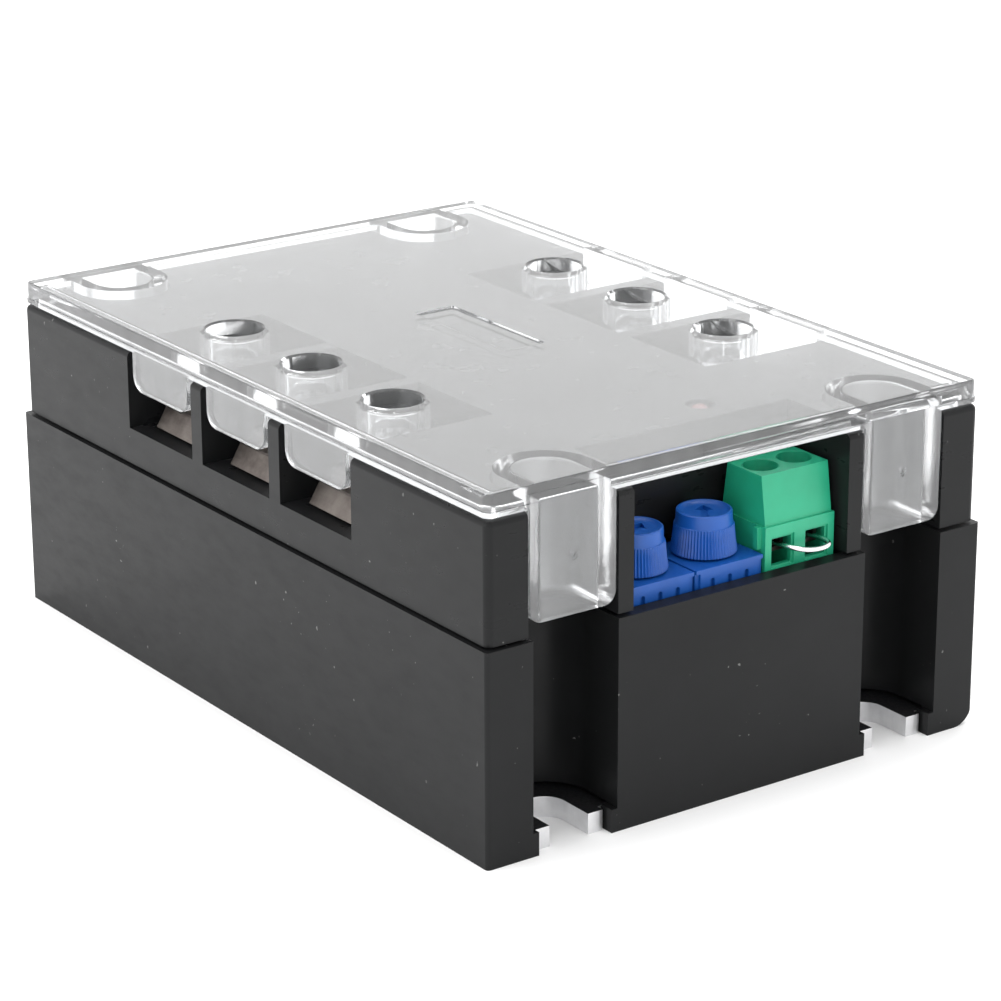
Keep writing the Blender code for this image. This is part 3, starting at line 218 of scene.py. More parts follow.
def turned(name, profile, centre, steps=96):
    """A closed turned solid on an upright axis, from a profile of (radius, height), top first."""
    shape = bmesh.new()
    rings = []
    for radius, height in profile:
        if radius < ON_AXIS:
            rings.append([shape.verts.new((centre[0], centre[1], height))])
            continue
        ring = []
        for i in range(steps):
            angle = 2 * math.pi * i / steps
            ring.append(shape.verts.new((
                centre[0] + radius * math.cos(angle), centre[1] + radius * math.sin(angle), height
            )))
        rings.append(ring)
    join_rings(shape, rings, steps)
    mesh = bpy.data.meshes.new(name)
    shape.to_mesh(mesh)
    shape.free()
    return new_object(name, mesh)


def boolean(target, other, operation="DIFFERENCE"):
    modifier = target.modifiers.new(other.name, "BOOLEAN")
    modifier.operation = operation
    modifier.solver = "EXACT"
    modifier.object = other


def bevel(obj, width, segments=3):
    modifier = obj.modifiers.new("Edges", "BEVEL")
    modifier.width = width
    modifier.segments = segments
    modifier.limit_method = "ANGLE"
    modifier.angle_limit = math.radians(BEVEL_ANGLE)
    modifier.use_clamp_overlap = True
    modifier.miter_outer = "MITER_ARC"


def settle(obj):
    """Applies the modifiers, and clears away what they used."""
    bpy.context.view_layer.update()
    graph = bpy.context.evaluated_depsgraph_get()
    mesh = bpy.data.meshes.new_from_object(obj.evaluated_get(graph))
    used = [m.object for m in obj.modifiers if m.type == "BOOLEAN"]
    obj.modifiers.clear()
    obj.data = mesh
    mesh.transform(obj.matrix_world)
    obj.matrix_world = Matrix.Identity(4)
    for other in used:
        if other.name in bpy.data.objects:
            bpy.data.objects.remove(other)
    return obj


def weld(obj, distance=0.002 * MM):
    shape = bmesh.new()
    shape.from_mesh(obj.data)
    bmesh.ops.remove_doubles(shape, verts=shape.verts, dist=distance)
    bmesh.ops.dissolve_degenerate(shape, dist=distance, edges=shape.edges)
    shape.to_mesh(obj.data)
    shape.free()


def finish(obj, material, body, replaced, sharp=34.0, weighted=True):
    """Shades a piece, gives it its material and lets it stand for its CAD node."""
    settle(obj)
    mesh = obj.data
    mesh.materials.clear()
    mesh.materials.append(material)
    for polygon in mesh.polygons:
        polygon.material_index = 0
    mesh.shade_smooth()
    mesh.set_sharp_from_angle(angle=math.radians(sharp))
    if weighted:
        modifier = obj.modifiers.new("Normals", "WEIGHTED_NORMAL")
        modifier.keep_sharp = True
        modifier.weight = 100
    SCRATCH.objects.unlink(obj)
    MADE.objects.link(obj)
    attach(obj, body)
    if replaced:
        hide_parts(replaced)
    return obj


# ---- Outlines -----------------------------------------------------------------------------
def arc(centre, radius, start, end, steps):
    points = []
    for i in range(steps + 1):
        angle = math.radians(start + (end - start) * i / steps)
        points.append((centre[0] + radius * math.cos(angle), centre[1] + radius * math.sin(angle)))
    return points


def rounded_rectangle(half_u, half_v, radius, steps=10):
    points = []
    for quarter, (su, sv) in enumerate(((1, 1), (-1, 1), (-1, -1), (1, -1))):
        centre = (su * (half_u - radius), sv * (half_v - radius))
        points += arc(centre, radius, 90 * quarter, 90 * quarter + 90, steps)
    return points


def rounded_slab(low_u, high_u, low_v, high_v, radius, steps=6):
    """A rectangle between limits, with only its two lower corners rounded."""
    outline = arc((low_u + radius, low_v + radius), radius, 180, 270, steps)
    outline += arc((high_u - radius, low_v + radius), radius, 270, 360, steps)
    return outline + [(high_u, high_v), (low_u, high_v)]


def channels():
    for row, side in (("front", -1), ("rear", 1)):
        for column, x in (("left", -CHANNEL_X), ("right", CHANNEL_X)):
            yield f"{row}_{column}", x, side * CHANNEL_Y, side


def channel_outline(radius, reach, side, steps=28):
    points = [(radius, -reach)] + arc((0.0, 0.0), radius, 0, 180, steps) + [(-radius, -reach)]
    return [(u, -side * v) for u, v in points]


def channel_solid(name, radius, reach, low, high, x, y, side, steps=28):
    return prism(name, channel_outline(radius, reach, side, steps), low, high, centre=(x, y))


def across(side, near, far):
    return min(side * near, side * far), max(side * near, side * far)


def centre_of(node):
    low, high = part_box(node)
    return (low + high) / 2


# ---- Material tools -----------------------------------------------------------------------
class Nodes:
    """One material's node tree, with short ways to add what the looks use."""

    def __init__(self, name):
        self.material = bpy.data.materials.new(name)
        self.material.use_nodes = True
        self.tree = self.material.node_tree
        self.shader = self.tree.nodes["Principled BSDF"]

    def add(self, kind, **values):
        node = self.tree.nodes.new(kind)
        for key, value in values.items():
            if hasattr(node, key):
                setattr(node, key, value)
            else:
                node.inputs[key.replace("_", " ")].default_value = value
        return node

    def link(self, source, target):
        self.tree.links.new(source, target)

    def set(self, **values):
        for key, value in values.items():
            self.shader.inputs[key.replace("_", " ")].default_value = value

    def place(self):
        """Object coordinates in metres; the pieces' origins are the frame's."""
        return self.add("ShaderNodeTexCoord").outputs["Object"]

    def noise(self, scale, detail=3.0, roughness=0.5, stretch=None):
        source = self.place()
        if stretch:
            mapping = self.add("ShaderNodeMapping")
            mapping.inputs["Scale"].default_value = stretch
            self.link(source, mapping.inputs["Vector"])
            source = mapping.outputs["Vector"]
        node = self.add("ShaderNodeTexNoise")
        node.inputs["Scale"].default_value = scale
        node.inputs["Detail"].default_value = detail
        node.inputs["Roughness"].default_value = roughness
        self.link(source, node.inputs["Vector"])
        return node.outputs["Fac"]

    def ramp(self, factor, stops):
        node = self.add("ShaderNodeValToRGB")
        node.color_ramp.interpolation = "LINEAR"
        elements = node.color_ramp.elements
        while len(elements) < len(stops):
            elements.new(0.5)
        for element, (at, colour) in zip(elements, stops):
            element.position = at
            element.color = (*colour, 1.0) if len(colour) == 3 else colour
        self.link(factor, node.inputs["Fac"])
        return node.outputs["Color"]

    def span(self, factor, low, high, from_low=0.0, from_high=1.0):
        node = self.add("ShaderNodeMapRange")
        node.inputs["From Min"].default_value = from_low
        node.inputs["From Max"].default_value = from_high
        node.inputs["To Min"].default_value = low
        node.inputs["To Max"].default_value = high
        self.link(factor, node.inputs["Value"])
        return node.outputs["Result"]

    def bump(self, height, distance, strength=1.0, before=None):
        node = self.add("ShaderNodeBump")
        node.inputs["Strength"].default_value = strength
        node.inputs["Distance"].default_value = distance
        self.link(height, node.inputs["Height"])
        if before is not None:
            self.link(before, node.inputs["Normal"])
        return node.outputs["Normal"]

    def mix(self, factor, first, second):
        node = self.add("ShaderNodeMix", data_type="RGBA")
        self.link(factor, node.inputs[0])
        for socket, value in ((node.inputs[6], first), (node.inputs[7], second)):
            if isinstance(value, bpy.types.NodeSocket):
                self.link(value, socket)
            else:
                socket.default_value = (*value, 1.0)
        return node.outputs[2]

    def blend(self, factor, first, second):
        """A number between two numbers."""
        node = self.add("ShaderNodeMix", data_type="FLOAT")
        for socket, value in zip((node.inputs[0], node.inputs[2], node.inputs[3]),
                                 (factor, first, second)):
            self.link(value, socket)
        return node.outputs[0]

    def use(self, name, socket):
        self.link(socket, self.shader.inputs[name])


# ---- Materials ----------------------------------------------------------------------------
def moulded_black(name, base=(0.0085, 0.0088, 0.0092), rough=(0.30, 0.42), specular=0.16):
    """Black moulded plastic: fine spark-eroded grain, handling marks, a little dust and broad
    lighter patches of painted reflection.
    """
    n = Nodes(name)
    broad = n.noise(55.0, 4.0, 0.6)
    rubbed = n.noise(260.0, 3.0, 0.55, stretch=(1.0, 1.0, 2.6))
    specks = n.noise(1500.0, 1.0, 0.4)
    clumps = n.noise(120.0, 2.0, 0.5)
    # Broad lighter patches in the base colour are painted reflection. They stand for patchy
    # reflections on the dark plastic.
    colour = n.ramp(broad, [(0.3, base), (0.75, tuple(c * 1.35 for c in base))])
    speck_mask = n.ramp(specks, [(0.765, (0, 0, 0)), (0.80, (1, 1, 1))])
    clump_mask = n.ramp(clumps, [(0.52, (0, 0, 0)), (0.62, (0.4, 0.4, 0.4))])
    both = n.add("ShaderNodeMath", operation="MULTIPLY")
    n.link(speck_mask, both.inputs[0])
    n.link(clump_mask, both.inputs[1])
    n.use("Base Color", n.mix(both.outputs[0], colour, (0.33, 0.33, 0.32)))
    n.use("Roughness", n.span(rubbed, rough[0], rough[1], 0.3, 0.7))
    grain = n.noise(4200.0, 2.0, 0.6)
    waves = n.noise(42.0, 2.0, 0.5)
    fine = n.bump(grain, 0.006 * MM, 0.55)
    n.use("Normal", n.bump(waves, 0.05 * MM, 0.25, before=fine))
    n.set(IOR=1.5, Specular_IOR_Level=specular)
    return n.material


def clear_plastic():
    """Clear polycarbonate: polished flats with a light whitish haze, and satin upright faces
    whitened with painted light.
    """
    n = Nodes("clear_polycarbonate_look")
    n.set(Base_Color=(0.965, 0.975, 0.985, 1.0), IOR=1.54)
    haze = n.noise(48.0, 4.0, 0.6)
    facing = n.add("ShaderNodeSeparateXYZ")
    n.link(n.add("ShaderNodeTexCoord").outputs["Normal"], facing.inputs[0])
    level = n.add("ShaderNodeMath", operation="ABSOLUTE")
    n.link(facing.outputs["Z"], level.inputs[0])
    flat = n.span(level.outputs[0], 0.0, 1.0, 0.55, 0.8)
    polished = n.span(haze, 0.015, 0.06, 0.3, 0.75)
    streaks = n.noise(420.0, 3.0, 0.6, stretch=(1.0, 1.0, 0.12))
    satin = n.span(streaks, 0.08, 0.2, 0.3, 0.7)
    n.use("Roughness", n.blend(flat, satin, polished))
    clear = n.span(haze, 0.975, 0.99, 0.3, 0.75)
    # Upright faces transmit less and show the near-white base colour. This is painted light,
    # standing for light carried inside the clear plastic.
    painted_upright_glow = n.span(streaks, 0.90, 0.95, 0.3, 0.7)
    n.use("Transmission Weight", n.blend(flat, painted_upright_glow, clear))
    flow = n.noise(30.0, 2.0, 0.5)
    fine = n.noise(900.0, 2.0, 0.5)
    n.use("Normal", n.bump(flow, 0.04 * MM, 0.3, before=n.bump(fine, 0.002 * MM, 0.15)))
    return n.material


def moulded_colour(name, base, dark, rough=(0.32, 0.46), grain_depth=0.006):
    n = Nodes(name)
    broad = n.noise(180.0, 3.0, 0.55)
    n.use("Base Color", n.ramp(broad, [(0.3, dark), (0.7, base)]))
    rubbed = n.noise(620.0, 3.0, 0.6)
    n.use("Roughness", n.span(rubbed, rough[0], rough[1], 0.3, 0.7))
    grain = n.noise(3600.0, 2.0, 0.6)
    n.use("Normal", n.bump(grain, grain_depth * MM, 0.5))
    n.set(IOR=1.5)
    n.shader.inputs["Subsurface Weight"].default_value = 0.08
    n.shader.inputs["Subsurface Radius"].default_value = (0.0006, 0.0006, 0.0006)
    return n.material


def plated_metal(name, bright, dark, rough=(0.22, 0.4), brushed=None):
    """Plated metal with tarnish in patches, pits and a rubbed finish."""
    n = Nodes(name)
    patches = n.noise(230.0, 5.0, 0.65)
    n.use("Base Color", n.ramp(patches, [(0.34, dark), (0.62, bright)]))
    grit = n.noise(1800.0, 3.0, 0.7, stretch=brushed)
    n.use("Roughness", n.span(grit, rough[0], rough[1], 0.3, 0.7))
    pits = n.noise(900.0, 4.0, 0.6)
    fine = n.bump(grit, 0.008 * MM, 0.5)
    n.use("Normal", n.bump(pits, 0.03 * MM, 0.4, before=fine))
    n.set(Metallic=1.0)
    return n.material


def milled_aluminium():
    """Sawn and milled aluminium: upright saw marks on its edges."""
    n = Nodes("milled_aluminium_look")
    marks = n.noise(900.0, 3.0, 0.6, stretch=(2.6, 2.6, 0.08))
    patches = n.noise(160.0, 4.0, 0.6)
    bright = n.ramp(patches, [(0.3, (0.62, 0.62, 0.63)), (0.7, (0.86, 0.86, 0.87))])
    facing = n.add("ShaderNodeSeparateXYZ")
    n.link(n.add("ShaderNodeTexCoord").outputs["Normal"], facing.inputs[0])
    film = n.span(facing.outputs["Z"], 0.0, 1.0, 0.6, 0.8)
    n.use("Base Color", n.mix(film, bright, (0.012, 0.012, 0.013)))
    n.use("Metallic", n.span(film, 1.0, 0.0))
    n.use("Roughness", n.span(marks, 0.28, 0.52, 0.3, 0.7))
    n.use("Normal", n.bump(marks, 0.02 * MM, 0.6))
    return n.material


def alumina():
    n = Nodes("alumina_look")
    grain = n.noise(2400.0, 3.0, 0.6)
    n.use("Base Color", n.ramp(grain, [(0.3, (0.78, 0.77, 0.73)), (0.7, (0.9, 0.9, 0.87))]))
    n.use("Roughness", n.span(grain, 0.4, 0.6))
    n.use("Normal", n.bump(grain, 0.004 * MM, 0.5))
    return n.material


def silicon():
    n = Nodes("silicon_look")
    grain = n.noise(800.0, 2.0, 0.5)
    n.use("Base Color", n.ramp(grain, [(0.35, (0.10, 0.10, 0.13)), (0.65, (0.2, 0.2, 0.25))]))
    n.use("Roughness", n.span(grain, 0.12, 0.25))
    n.set(Metallic=0.6)
    return n.material


def potting_resin():
    n = Nodes("potting_resin_look")
    flow = n.noise(60.0, 3.0, 0.5)
    n.use("Base Color", n.ramp(flow, [(0.3, (0.01, 0.01, 0.011)), (0.7, (0.02, 0.02, 0.022))]))
    n.use("Roughness", n.span(flow, 0.12, 0.3))
    n.use("Normal", n.bump(flow, 0.15 * MM, 0.5))
    return n.material


def circuit_board():
    n = Nodes("circuit_board_look")
    weave = n.noise(1400.0, 2.0, 0.5)
    n.use("Base Color", n.ramp(weave, [(0.3, (0.012, 0.09, 0.035)), (0.7, (0.02, 0.15, 0.06))]))
    n.use("Roughness", n.span(weave, 0.3, 0.45))
    n.use("Normal", n.bump(weave, 0.006 * MM, 0.5))
    return n.material


def capacitor_sleeve():
    n = Nodes("capacitor_sleeve_look")
    flow = n.noise(300.0, 2.0, 0.5)
    n.use("Base Color", n.ramp(flow, [(0.3, (0.008, 0.01, 0.03)), (0.7, (0.014, 0.017, 0.05))]))
    n.use("Roughness", n.span(flow, 0.2, 0.35))
    n.use("Normal", n.bump(flow, 0.02 * MM, 0.3))
    return n.material


def indicator_lens():
    n = Nodes("indicator_lens_look")
    flow = n.noise(500.0, 2.0, 0.5)
    n.use("Base Color", n.ramp(flow, [(0.3, (0.30, 0.02, 0.02)), (0.7, (0.42, 0.04, 0.03))]))
    n.use("Roughness", n.span(flow, 0.08, 0.2))
    n.set(Transmission_Weight=0.4, IOR=1.5)
    return n.material


BLACK = moulded_black("black_plastic_look")
BLACK_UPPER = moulded_black("black_plastic_deck_look", rough=(0.26, 0.38))
CLEAR = clear_plastic()
BLUE = moulded_colour("blue_plastic_look", (0.006, 0.090, 0.40), (0.005, 0.072, 0.33))
GREEN = moulded_colour("green_plastic_look", (0.016, 0.37, 0.20), (0.012, 0.32, 0.17))
NICKEL = plated_metal(
    "nickel_look", (0.187, 0.166, 0.151), (0.104, 0.088, 0.081), (0.3, 0.5),
    brushed=(1.0, 0.12, 1.0),
)
STEEL = plated_metal("zinc_steel_look", (0.66, 0.66, 0.67), (0.45, 0.45, 0.46), (0.2, 0.34))
TINNED = plated_metal("tinned_wire_look", (0.86, 0.86, 0.87), (0.7, 0.7, 0.71), (0.12, 0.26))
ALUMINIUM = milled_aluminium()


# ---- Housings -----------------------------------------------------------------------------
def make_base_plate():
    inner_w, inner_l = PLATE_HI.x, HALF_L - WALL - GAP
    top = PLATE_HI.z
    plate = prism("base_plate_metal", rounded_rectangle(inner_w, inner_l, 0.6 * MM), 0, top)
    for name, x, y, side in channels():
        y0, y1 = sorted((side * PLATE_HI.y, side * (inner_l - BEYOND)))
        piece = box(f"ear_{name}", (x - EAR_HALF, y0, 0), (x + EAR_HALF, y1, top))
        boolean(plate, piece, "UNION")
    for name, x, y, side in channels():
        notch = channel_solid(
            f"plate_notch_{name}", NOTCH_R, CHANNEL_R + BEYOND, -BEYOND, top + BEYOND, x, y, side
        )
        boolean(plate, notch)
    settle(plate)
    weld(plate)
    bevel(plate, 0.14 * MM, 2)
    finish(plate, ALUMINIUM, "root", "base_plate")


def make_lower_housing():
    shell = prism(
        "lower_housing_shell", rounded_rectangle(HALF_W, HALF_L, LOWER_CORNER), 0, PARTING
    )
    inner_w, inner_l = HALF_W - WALL, HALF_L - WALL
    hollow = box(
        "lower_hollow", (-inner_w, -inner_l, ABOVE_PLATE), (inner_w, inner_l, PARTING + BEYOND)
    )
    for name, x, y, side in channels():
        tower = channel_solid(
            f"lower_tower_{name}", CHANNEL_R + CHANNEL_WALL, CHANNEL_R + BEYOND,
            -BEYOND, PARTING + 2 * BEYOND, x, y, side,
        )
        boolean(hollow, tower)
    settle(hollow)
    boolean(shell, hollow)
    bed_top = ABOVE_PLATE + GAP / 2
    bed = box("plate_bed", (-inner_w, -inner_l, -BEYOND), (inner_w, inner_l, bed_top))
    boolean(shell, bed)
    outline = arc((HALF_W - LOWER_EDGE, LOWER_EDGE), LOWER_EDGE, 270, 360, 14)
    outline += [(HALF_W + BEYOND, LOWER_EDGE), (HALF_W + BEYOND, -BEYOND)]
    outline += [(HALF_W - LOWER_EDGE, -BEYOND)]
    boolean(shell, prism("lower_edge", outline, -HALF_L - BEYOND, HALF_L + BEYOND, plane="XZ"))
    mouth_half = EAR_HALF + GAP
    for name, x, y, side in channels():
        well = channel_solid(
            f"lower_channel_{name}", CHANNEL_R, CHANNEL_R + BEYOND, ABOVE_PLATE,
            PARTING + BEYOND, x, y, side,
        )
        boolean(shell, well)
        y0, y1 = sorted((side * (HALF_L + BEYOND), side * (inner_l - BEYOND)))
        mouth = box(
            f"ear_bed_{name}", (x - mouth_half, y0, -BEYOND), (x + mouth_half, y1, bed_top)
        )
        boolean(shell, mouth)
    settle(shell)
    weld(shell)
    bevel(shell, 0.22 * MM, 2)
    finish(shell, BLACK, "root", "lower_housing")


def make_upper_housing():
    outline = rounded_rectangle(UPPER_HALF_W, UPPER_HALF_L, UPPER_CORNER)
    shell = prism("upper_housing_shell", outline, UPPER_BOTTOM, DECK)
    bevel(shell, 0.7 * MM, 5)
    settle(shell)
    weld(shell)
    base = prism("upper_square_bottom", outline, UPPER_BOTTOM, UPPER_BOTTOM + BEYOND)
    boolean(shell, base, "UNION")
    inner_w, inner_l = UPPER_HALF_W - WALL, UPPER_HALF_L - WALL
    hollow = box(
        "upper_hollow", (-inner_w, -inner_l, UPPER_BOTTOM - BEYOND),
        (inner_w, inner_l, DECK - WALL),
    )
    for name, x, y, side in channels():
        tower = channel_solid(
            f"upper_tower_{name}", UPPER_CHANNEL_R + CHANNEL_WALL, CHANNEL_R + BEYOND,
            UPPER_BOTTOM - 2 * BEYOND, DECK + BEYOND, x, y, side,
        )
        boolean(hollow, tower)
    block_y = PITCH + POCKET_WIDTH / 2 + WALL
    for side in (-1, 1):
        x0, x1 = across(side, POCKET_INNER - WALL, HALF_W + BEYOND)
        block = box(
            f"pocket_block_{side + 1}", (x0, -block_y, POCKET_FLOOR - WALL),
            (x1, block_y, DECK + BEYOND),
        )
        boolean(hollow, block)
    post_x = CHANNEL_X - UPPER_CHANNEL_R
    bay_block = box(
        "bay_block", (-post_x, -HALF_L - BEYOND, UPPER_BOTTOM - 2 * BEYOND),
        (post_x, BAY_REAR + WALL, DECK + BEYOND),
    )
    boolean(hollow, bay_block)
    settle(hollow)
    boolean(shell, hollow)
    for name, x, y, side in channels():
        well = channel_solid(
            f"upper_channel_{name}", UPPER_CHANNEL_R, CHANNEL_R + BEYOND,
            UPPER_BOTTOM - BEYOND, DECK + BEYOND, x, y, side,
        )
        boolean(shell, well)
    bay = box(
        "bay_well", (-BAY_HALF, -HALF_L - BEYOND, UPPER_BOTTOM - BEYOND),
        (BAY_HALF, BAY_REAR, DECK + BEYOND),
    )
    boolean(shell, bay)
    knob_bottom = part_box("trimmer_body_1")[1].z + 2 * GAP
    under = box(
        "bay_under_wall", (-BAY_HALF, BAY_REAR - BEYOND, UPPER_BOTTOM - BEYOND),
        (BAY_HALF, BAY_REAR + BEYOND, knob_bottom),
    )
    boolean(shell, under)
    for name in POLES:
        cut_pocket(shell, name)
    lens = centre_of("status_led")
    boolean(shell, cylinder("led_hole", LED_HOLE, DECK - WALL - BEYOND, DECK + BEYOND, lens[:2]))
    settle(shell)
    weld(shell)
    bevel(shell, 0.22 * MM, 2)
    finish(shell, BLACK_UPPER, "root", "upper_housing")


def cut_pocket(shell, name):
    bar_lo, bar_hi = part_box(f"power_terminal_{name}")
    side = 1 if bar_hi.x > 0 else -1
    y = (bar_lo.y + bar_hi.y) / 2
    x0, x1 = across(side, POCKET_INNER, HALF_W + BEYOND)
    pocket = box(
        f"pocket_{name}", (x0, y - POCKET_WIDTH / 2, POCKET_FLOOR),
        (x1, y + POCKET_WIDTH / 2, DECK + BEYOND),
    )
    boolean(shell, pocket)
    inner = min(abs(bar_lo.x), abs(bar_hi.x))
    x0, x1 = across(side, inner - GAP / 2, inner + RISER + GAP)
    slot = box(
        f"riser_slot_{name}", (x0, bar_lo.y - GAP, POCKET_FLOOR - WALL - BEYOND),
        (x1, bar_hi.y + GAP, POCKET_FLOOR + GAP),
    )
    boolean(shell, slot)
    screw = centre_of(f"terminal_screw_{name}")
    well = cylinder(
        f"shank_well_{name}", SHANK_WELL, POCKET_FLOOR - WALL - BEYOND, POCKET_FLOOR + GAP,
        screw[:2],
    )
    boolean(shell, well)


# ---- Clear cover --------------------------------------------------------------------------
def make_cover():
    ceiling = COVER_TOP - COVER_PLATE
    wall = rounded_rectangle(FLANGE_W - COVER_LEDGE, FLANGE_L - COVER_LEDGE, 0.9 * MM)
    cover = prism("clear_cover_shell", wall, COVER_BOTTOM + COVER_FLANGE / 2, COVER_TOP)
    bevel(cover, 0.28 * MM, 3)
    settle(cover)
    ring = prism(
        "cover_flange", rounded_rectangle(FLANGE_W, FLANGE_L, 1.0 * MM),
        COVER_BOTTOM, COVER_BOTTOM + COVER_FLANGE,
    )
    bevel(ring, 0.1 * MM, 2)
    settle(ring)
    boolean(cover, ring, "UNION")
    inner_w, inner_l = FLANGE_W - COVER_WALL, FLANGE_L - COVER_WALL
    hollow = prism(
        "cover_hollow", rounded_rectangle(inner_w, inner_l, 1.0 * MM, 6),
        COVER_BOTTOM - BEYOND, ceiling,
    )
    bevel(hollow, 0.35 * MM, 3)
    settle(hollow)
    boolean(cover, hollow)
    settle(cover)
    for name in POLES:
        add_tab(cover, name)
        add_collar(cover, name, ceiling)
    for name, x, y, side in channels():
        add_plug(cover, name, x, y, side, ceiling)
    for name in POLES:
        at = centre_of(f"terminal_screw_{name}")
        bore = turned(
            f"bore_{name}",
            [
                (0.0, COVER_TOP + BEYOND),
                (COLLAR_BORE + 0.25 * MM, COVER_TOP + BEYOND),
                (COLLAR_BORE + 0.25 * MM, COVER_TOP),
                (COLLAR_BORE, COVER_TOP - 0.25 * MM),
                (COLLAR_BORE, COVER_TOP - COLLAR_DROP - BEYOND),
                (0.0, COVER_TOP - COLLAR_DROP - BEYOND),
            ],
            at[:2],
        )
        boolean(cover, bore)
    cut_pad(cover)
    settle(cover)
    weld(cover)
    finish(cover, CLEAR, "cover", "clear_cover")


def cut_pad(cover):
    """A shallow blank recess in the middle of the cover."""
    half_u, half_v, depth = PAD[0] / 2, PAD[1] / 2, PAD[2]
    outline = rounded_rectangle(half_u, half_v, 0.4 * MM, 4)
    recess = prism("pad_recess", outline, COVER_TOP - depth, COVER_TOP + BEYOND)
    boolean(cover, recess)


def add_tab(cover, name):
    bar_lo, bar_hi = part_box(f"power_terminal_{name}")
    side = 1 if bar_hi.x > 0 else -1
    y = (bar_lo.y + bar_hi.y) / 2
    low = COVER_BOTTOM - TAB_DROP
    top = COVER_BOTTOM + COVER_FLANGE * 0.8
    outline = rounded_slab(y - TAB_WIDTH / 2, y + TAB_WIDTH / 2, low, top, TAB_CORNER, 8)
    outer = FLANGE_W - 0.05 * MM
    x0, x1 = across(side, outer - TAB_THICKNESS, outer)
    tab = prism(f"tab_{name}", outline, x0, x1, plane="YZ")
    bevel(tab, 0.16 * MM, 2)
    settle(tab)
    boolean(cover, tab, "UNION")


def add_collar(cover, name, ceiling):
    """An eight-sided tube below the plate, which the screwdriver hole is bored through."""
    at = centre_of(f"terminal_screw_{name}")
    outer = COLLAR_BORE + COLLAR_WALL
    low = COVER_TOP - COLLAR_DROP
    outline = [(outer * math.cos(a), outer * math.sin(a)) for a in (
        math.radians(45 * i + 10) for i in range(8)
    )]
    collar = prism(f"collar_{name}", outline, low, ceiling + COVER_PLATE / 2, centre=at[:2])
    bevel(collar, 0.2 * MM, 2)
    settle(collar)
    boolean(cover, collar, "UNION")


def add_plug(cover, name, x, y, side, ceiling):
    front = FLANGE_L - 0.05 * MM
    reach = front - CHANNEL_Y
    plug = channel_solid(
        f"plug_{name}", CHANNEL_R, reach, PLUG_BOTTOM, ceiling + COVER_PLATE / 2, x, y, side, 40
    )
    outline = rounded_slab(
        -CHANNEL_R, CHANNEL_R, PLUG_BOTTOM, COVER_TOP + BEYOND, PLUG_CORNER, 8
    )
    y0, y1 = sorted((y - side * 2 * BEYOND, side * (HALF_L + BEYOND)))
    trim = prism(f"plug_trim_{name}", outline, y0, y1, plane="XZ", centre=(x, 0.0))
    boolean(plug, trim, "INTERSECT")
    settle(plug)
    bevel(plug, 0.16 * MM, 2)
    settle(plug)
    boolean(cover, plug, "UNION")
    cavity = channel_solid(
        f"plug_cavity_{name}", CHANNEL_R - PLUG_WALL, reach - PLUG_FRONT,
        PLUG_BOTTOM - BEYOND, ceiling - GAP / 2, x, y, side, 40,
    )
    bevel(cavity, 0.3 * MM, 3)
    settle(cavity)
    boolean(cover, cavity)
    middle = (PLUG_BOTTOM + COVER_BOTTOM) / 2 + 0.3 * MM
    for part, radius, deep in (("rim", 0.62, 0.10), ("pip", 0.34, 0.22)):
        disc = [(radius * MM * math.cos(a), radius * MM * math.sin(a)) for a in (
            2 * math.pi * i / 20 for i in range(20)
        )]
        y0, y1 = sorted((side * (front + BEYOND), side * (front - deep * MM)))
        dent = prism(f"{part}_{name}", disc, y0, y1, plane="XZ", centre=(x, middle))
        boolean(cover, dent)


# ---- Power terminals ----------------------------------------------------------------------
def make_power_pole(name):
    bar_lo, bar_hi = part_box(f"power_terminal_{name}")
    side = 1 if bar_hi.x > 0 else -1
    at = centre_of(f"terminal_screw_{name}")
    inner = min(abs(bar_lo.x), abs(bar_hi.x))
    nose = max(abs(bar_lo.x), abs(bar_hi.x))
    top, bottom = bar_hi.z, bar_hi.z - BAR_THICKNESS
    riser, foot = inner + RISER, inner + FOOT_REACH
    low = bar_lo.z
    profile = [
        (inner, top), (inner, low), (foot, low), (foot, low + FOOT_THICKNESS),
        (riser, low + FOOT_THICKNESS), (riser, bottom), (nose, bottom),
        (nose - BAR_NOSE_RUN, top),
    ]
    outline = [(side * u, v) for u, v in profile]
    bar = prism(f"terminal_bar_{name}", outline, bar_lo.y, bar_hi.y, plane="XZ")
    boolean(bar, cylinder(f"bar_hole_{name}", BAR_HOLE, bottom - GAP, top + BEYOND, at[:2]))
    settle(bar)
    bevel(bar, 0.2 * MM, 3)
    finish(bar, NICKEL, "root", f"power_terminal_{name}")
    make_washer(name, at)
    make_terminal_screw(name, at)


def make_washer(name, at):
    low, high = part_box(f"clamp_washer_{name}")
    half = (high.x - low.x) / 2
    washer = prism(
        f"clamp_plate_{name}", rounded_rectangle(half, half, 1.0 * MM, 6), low.z, high.z,
        centre=(at.x, at.y),
    )
    hole = cylinder(f"washer_hole_{name}", BAR_HOLE, low.z - BEYOND, high.z + BEYOND, at[:2])
    boolean(washer, hole)
    settle(washer)
    bevel(washer, 0.18 * MM, 2)
    finish(washer, NICKEL, f"washer_{name}", f"clamp_washer_{name}")


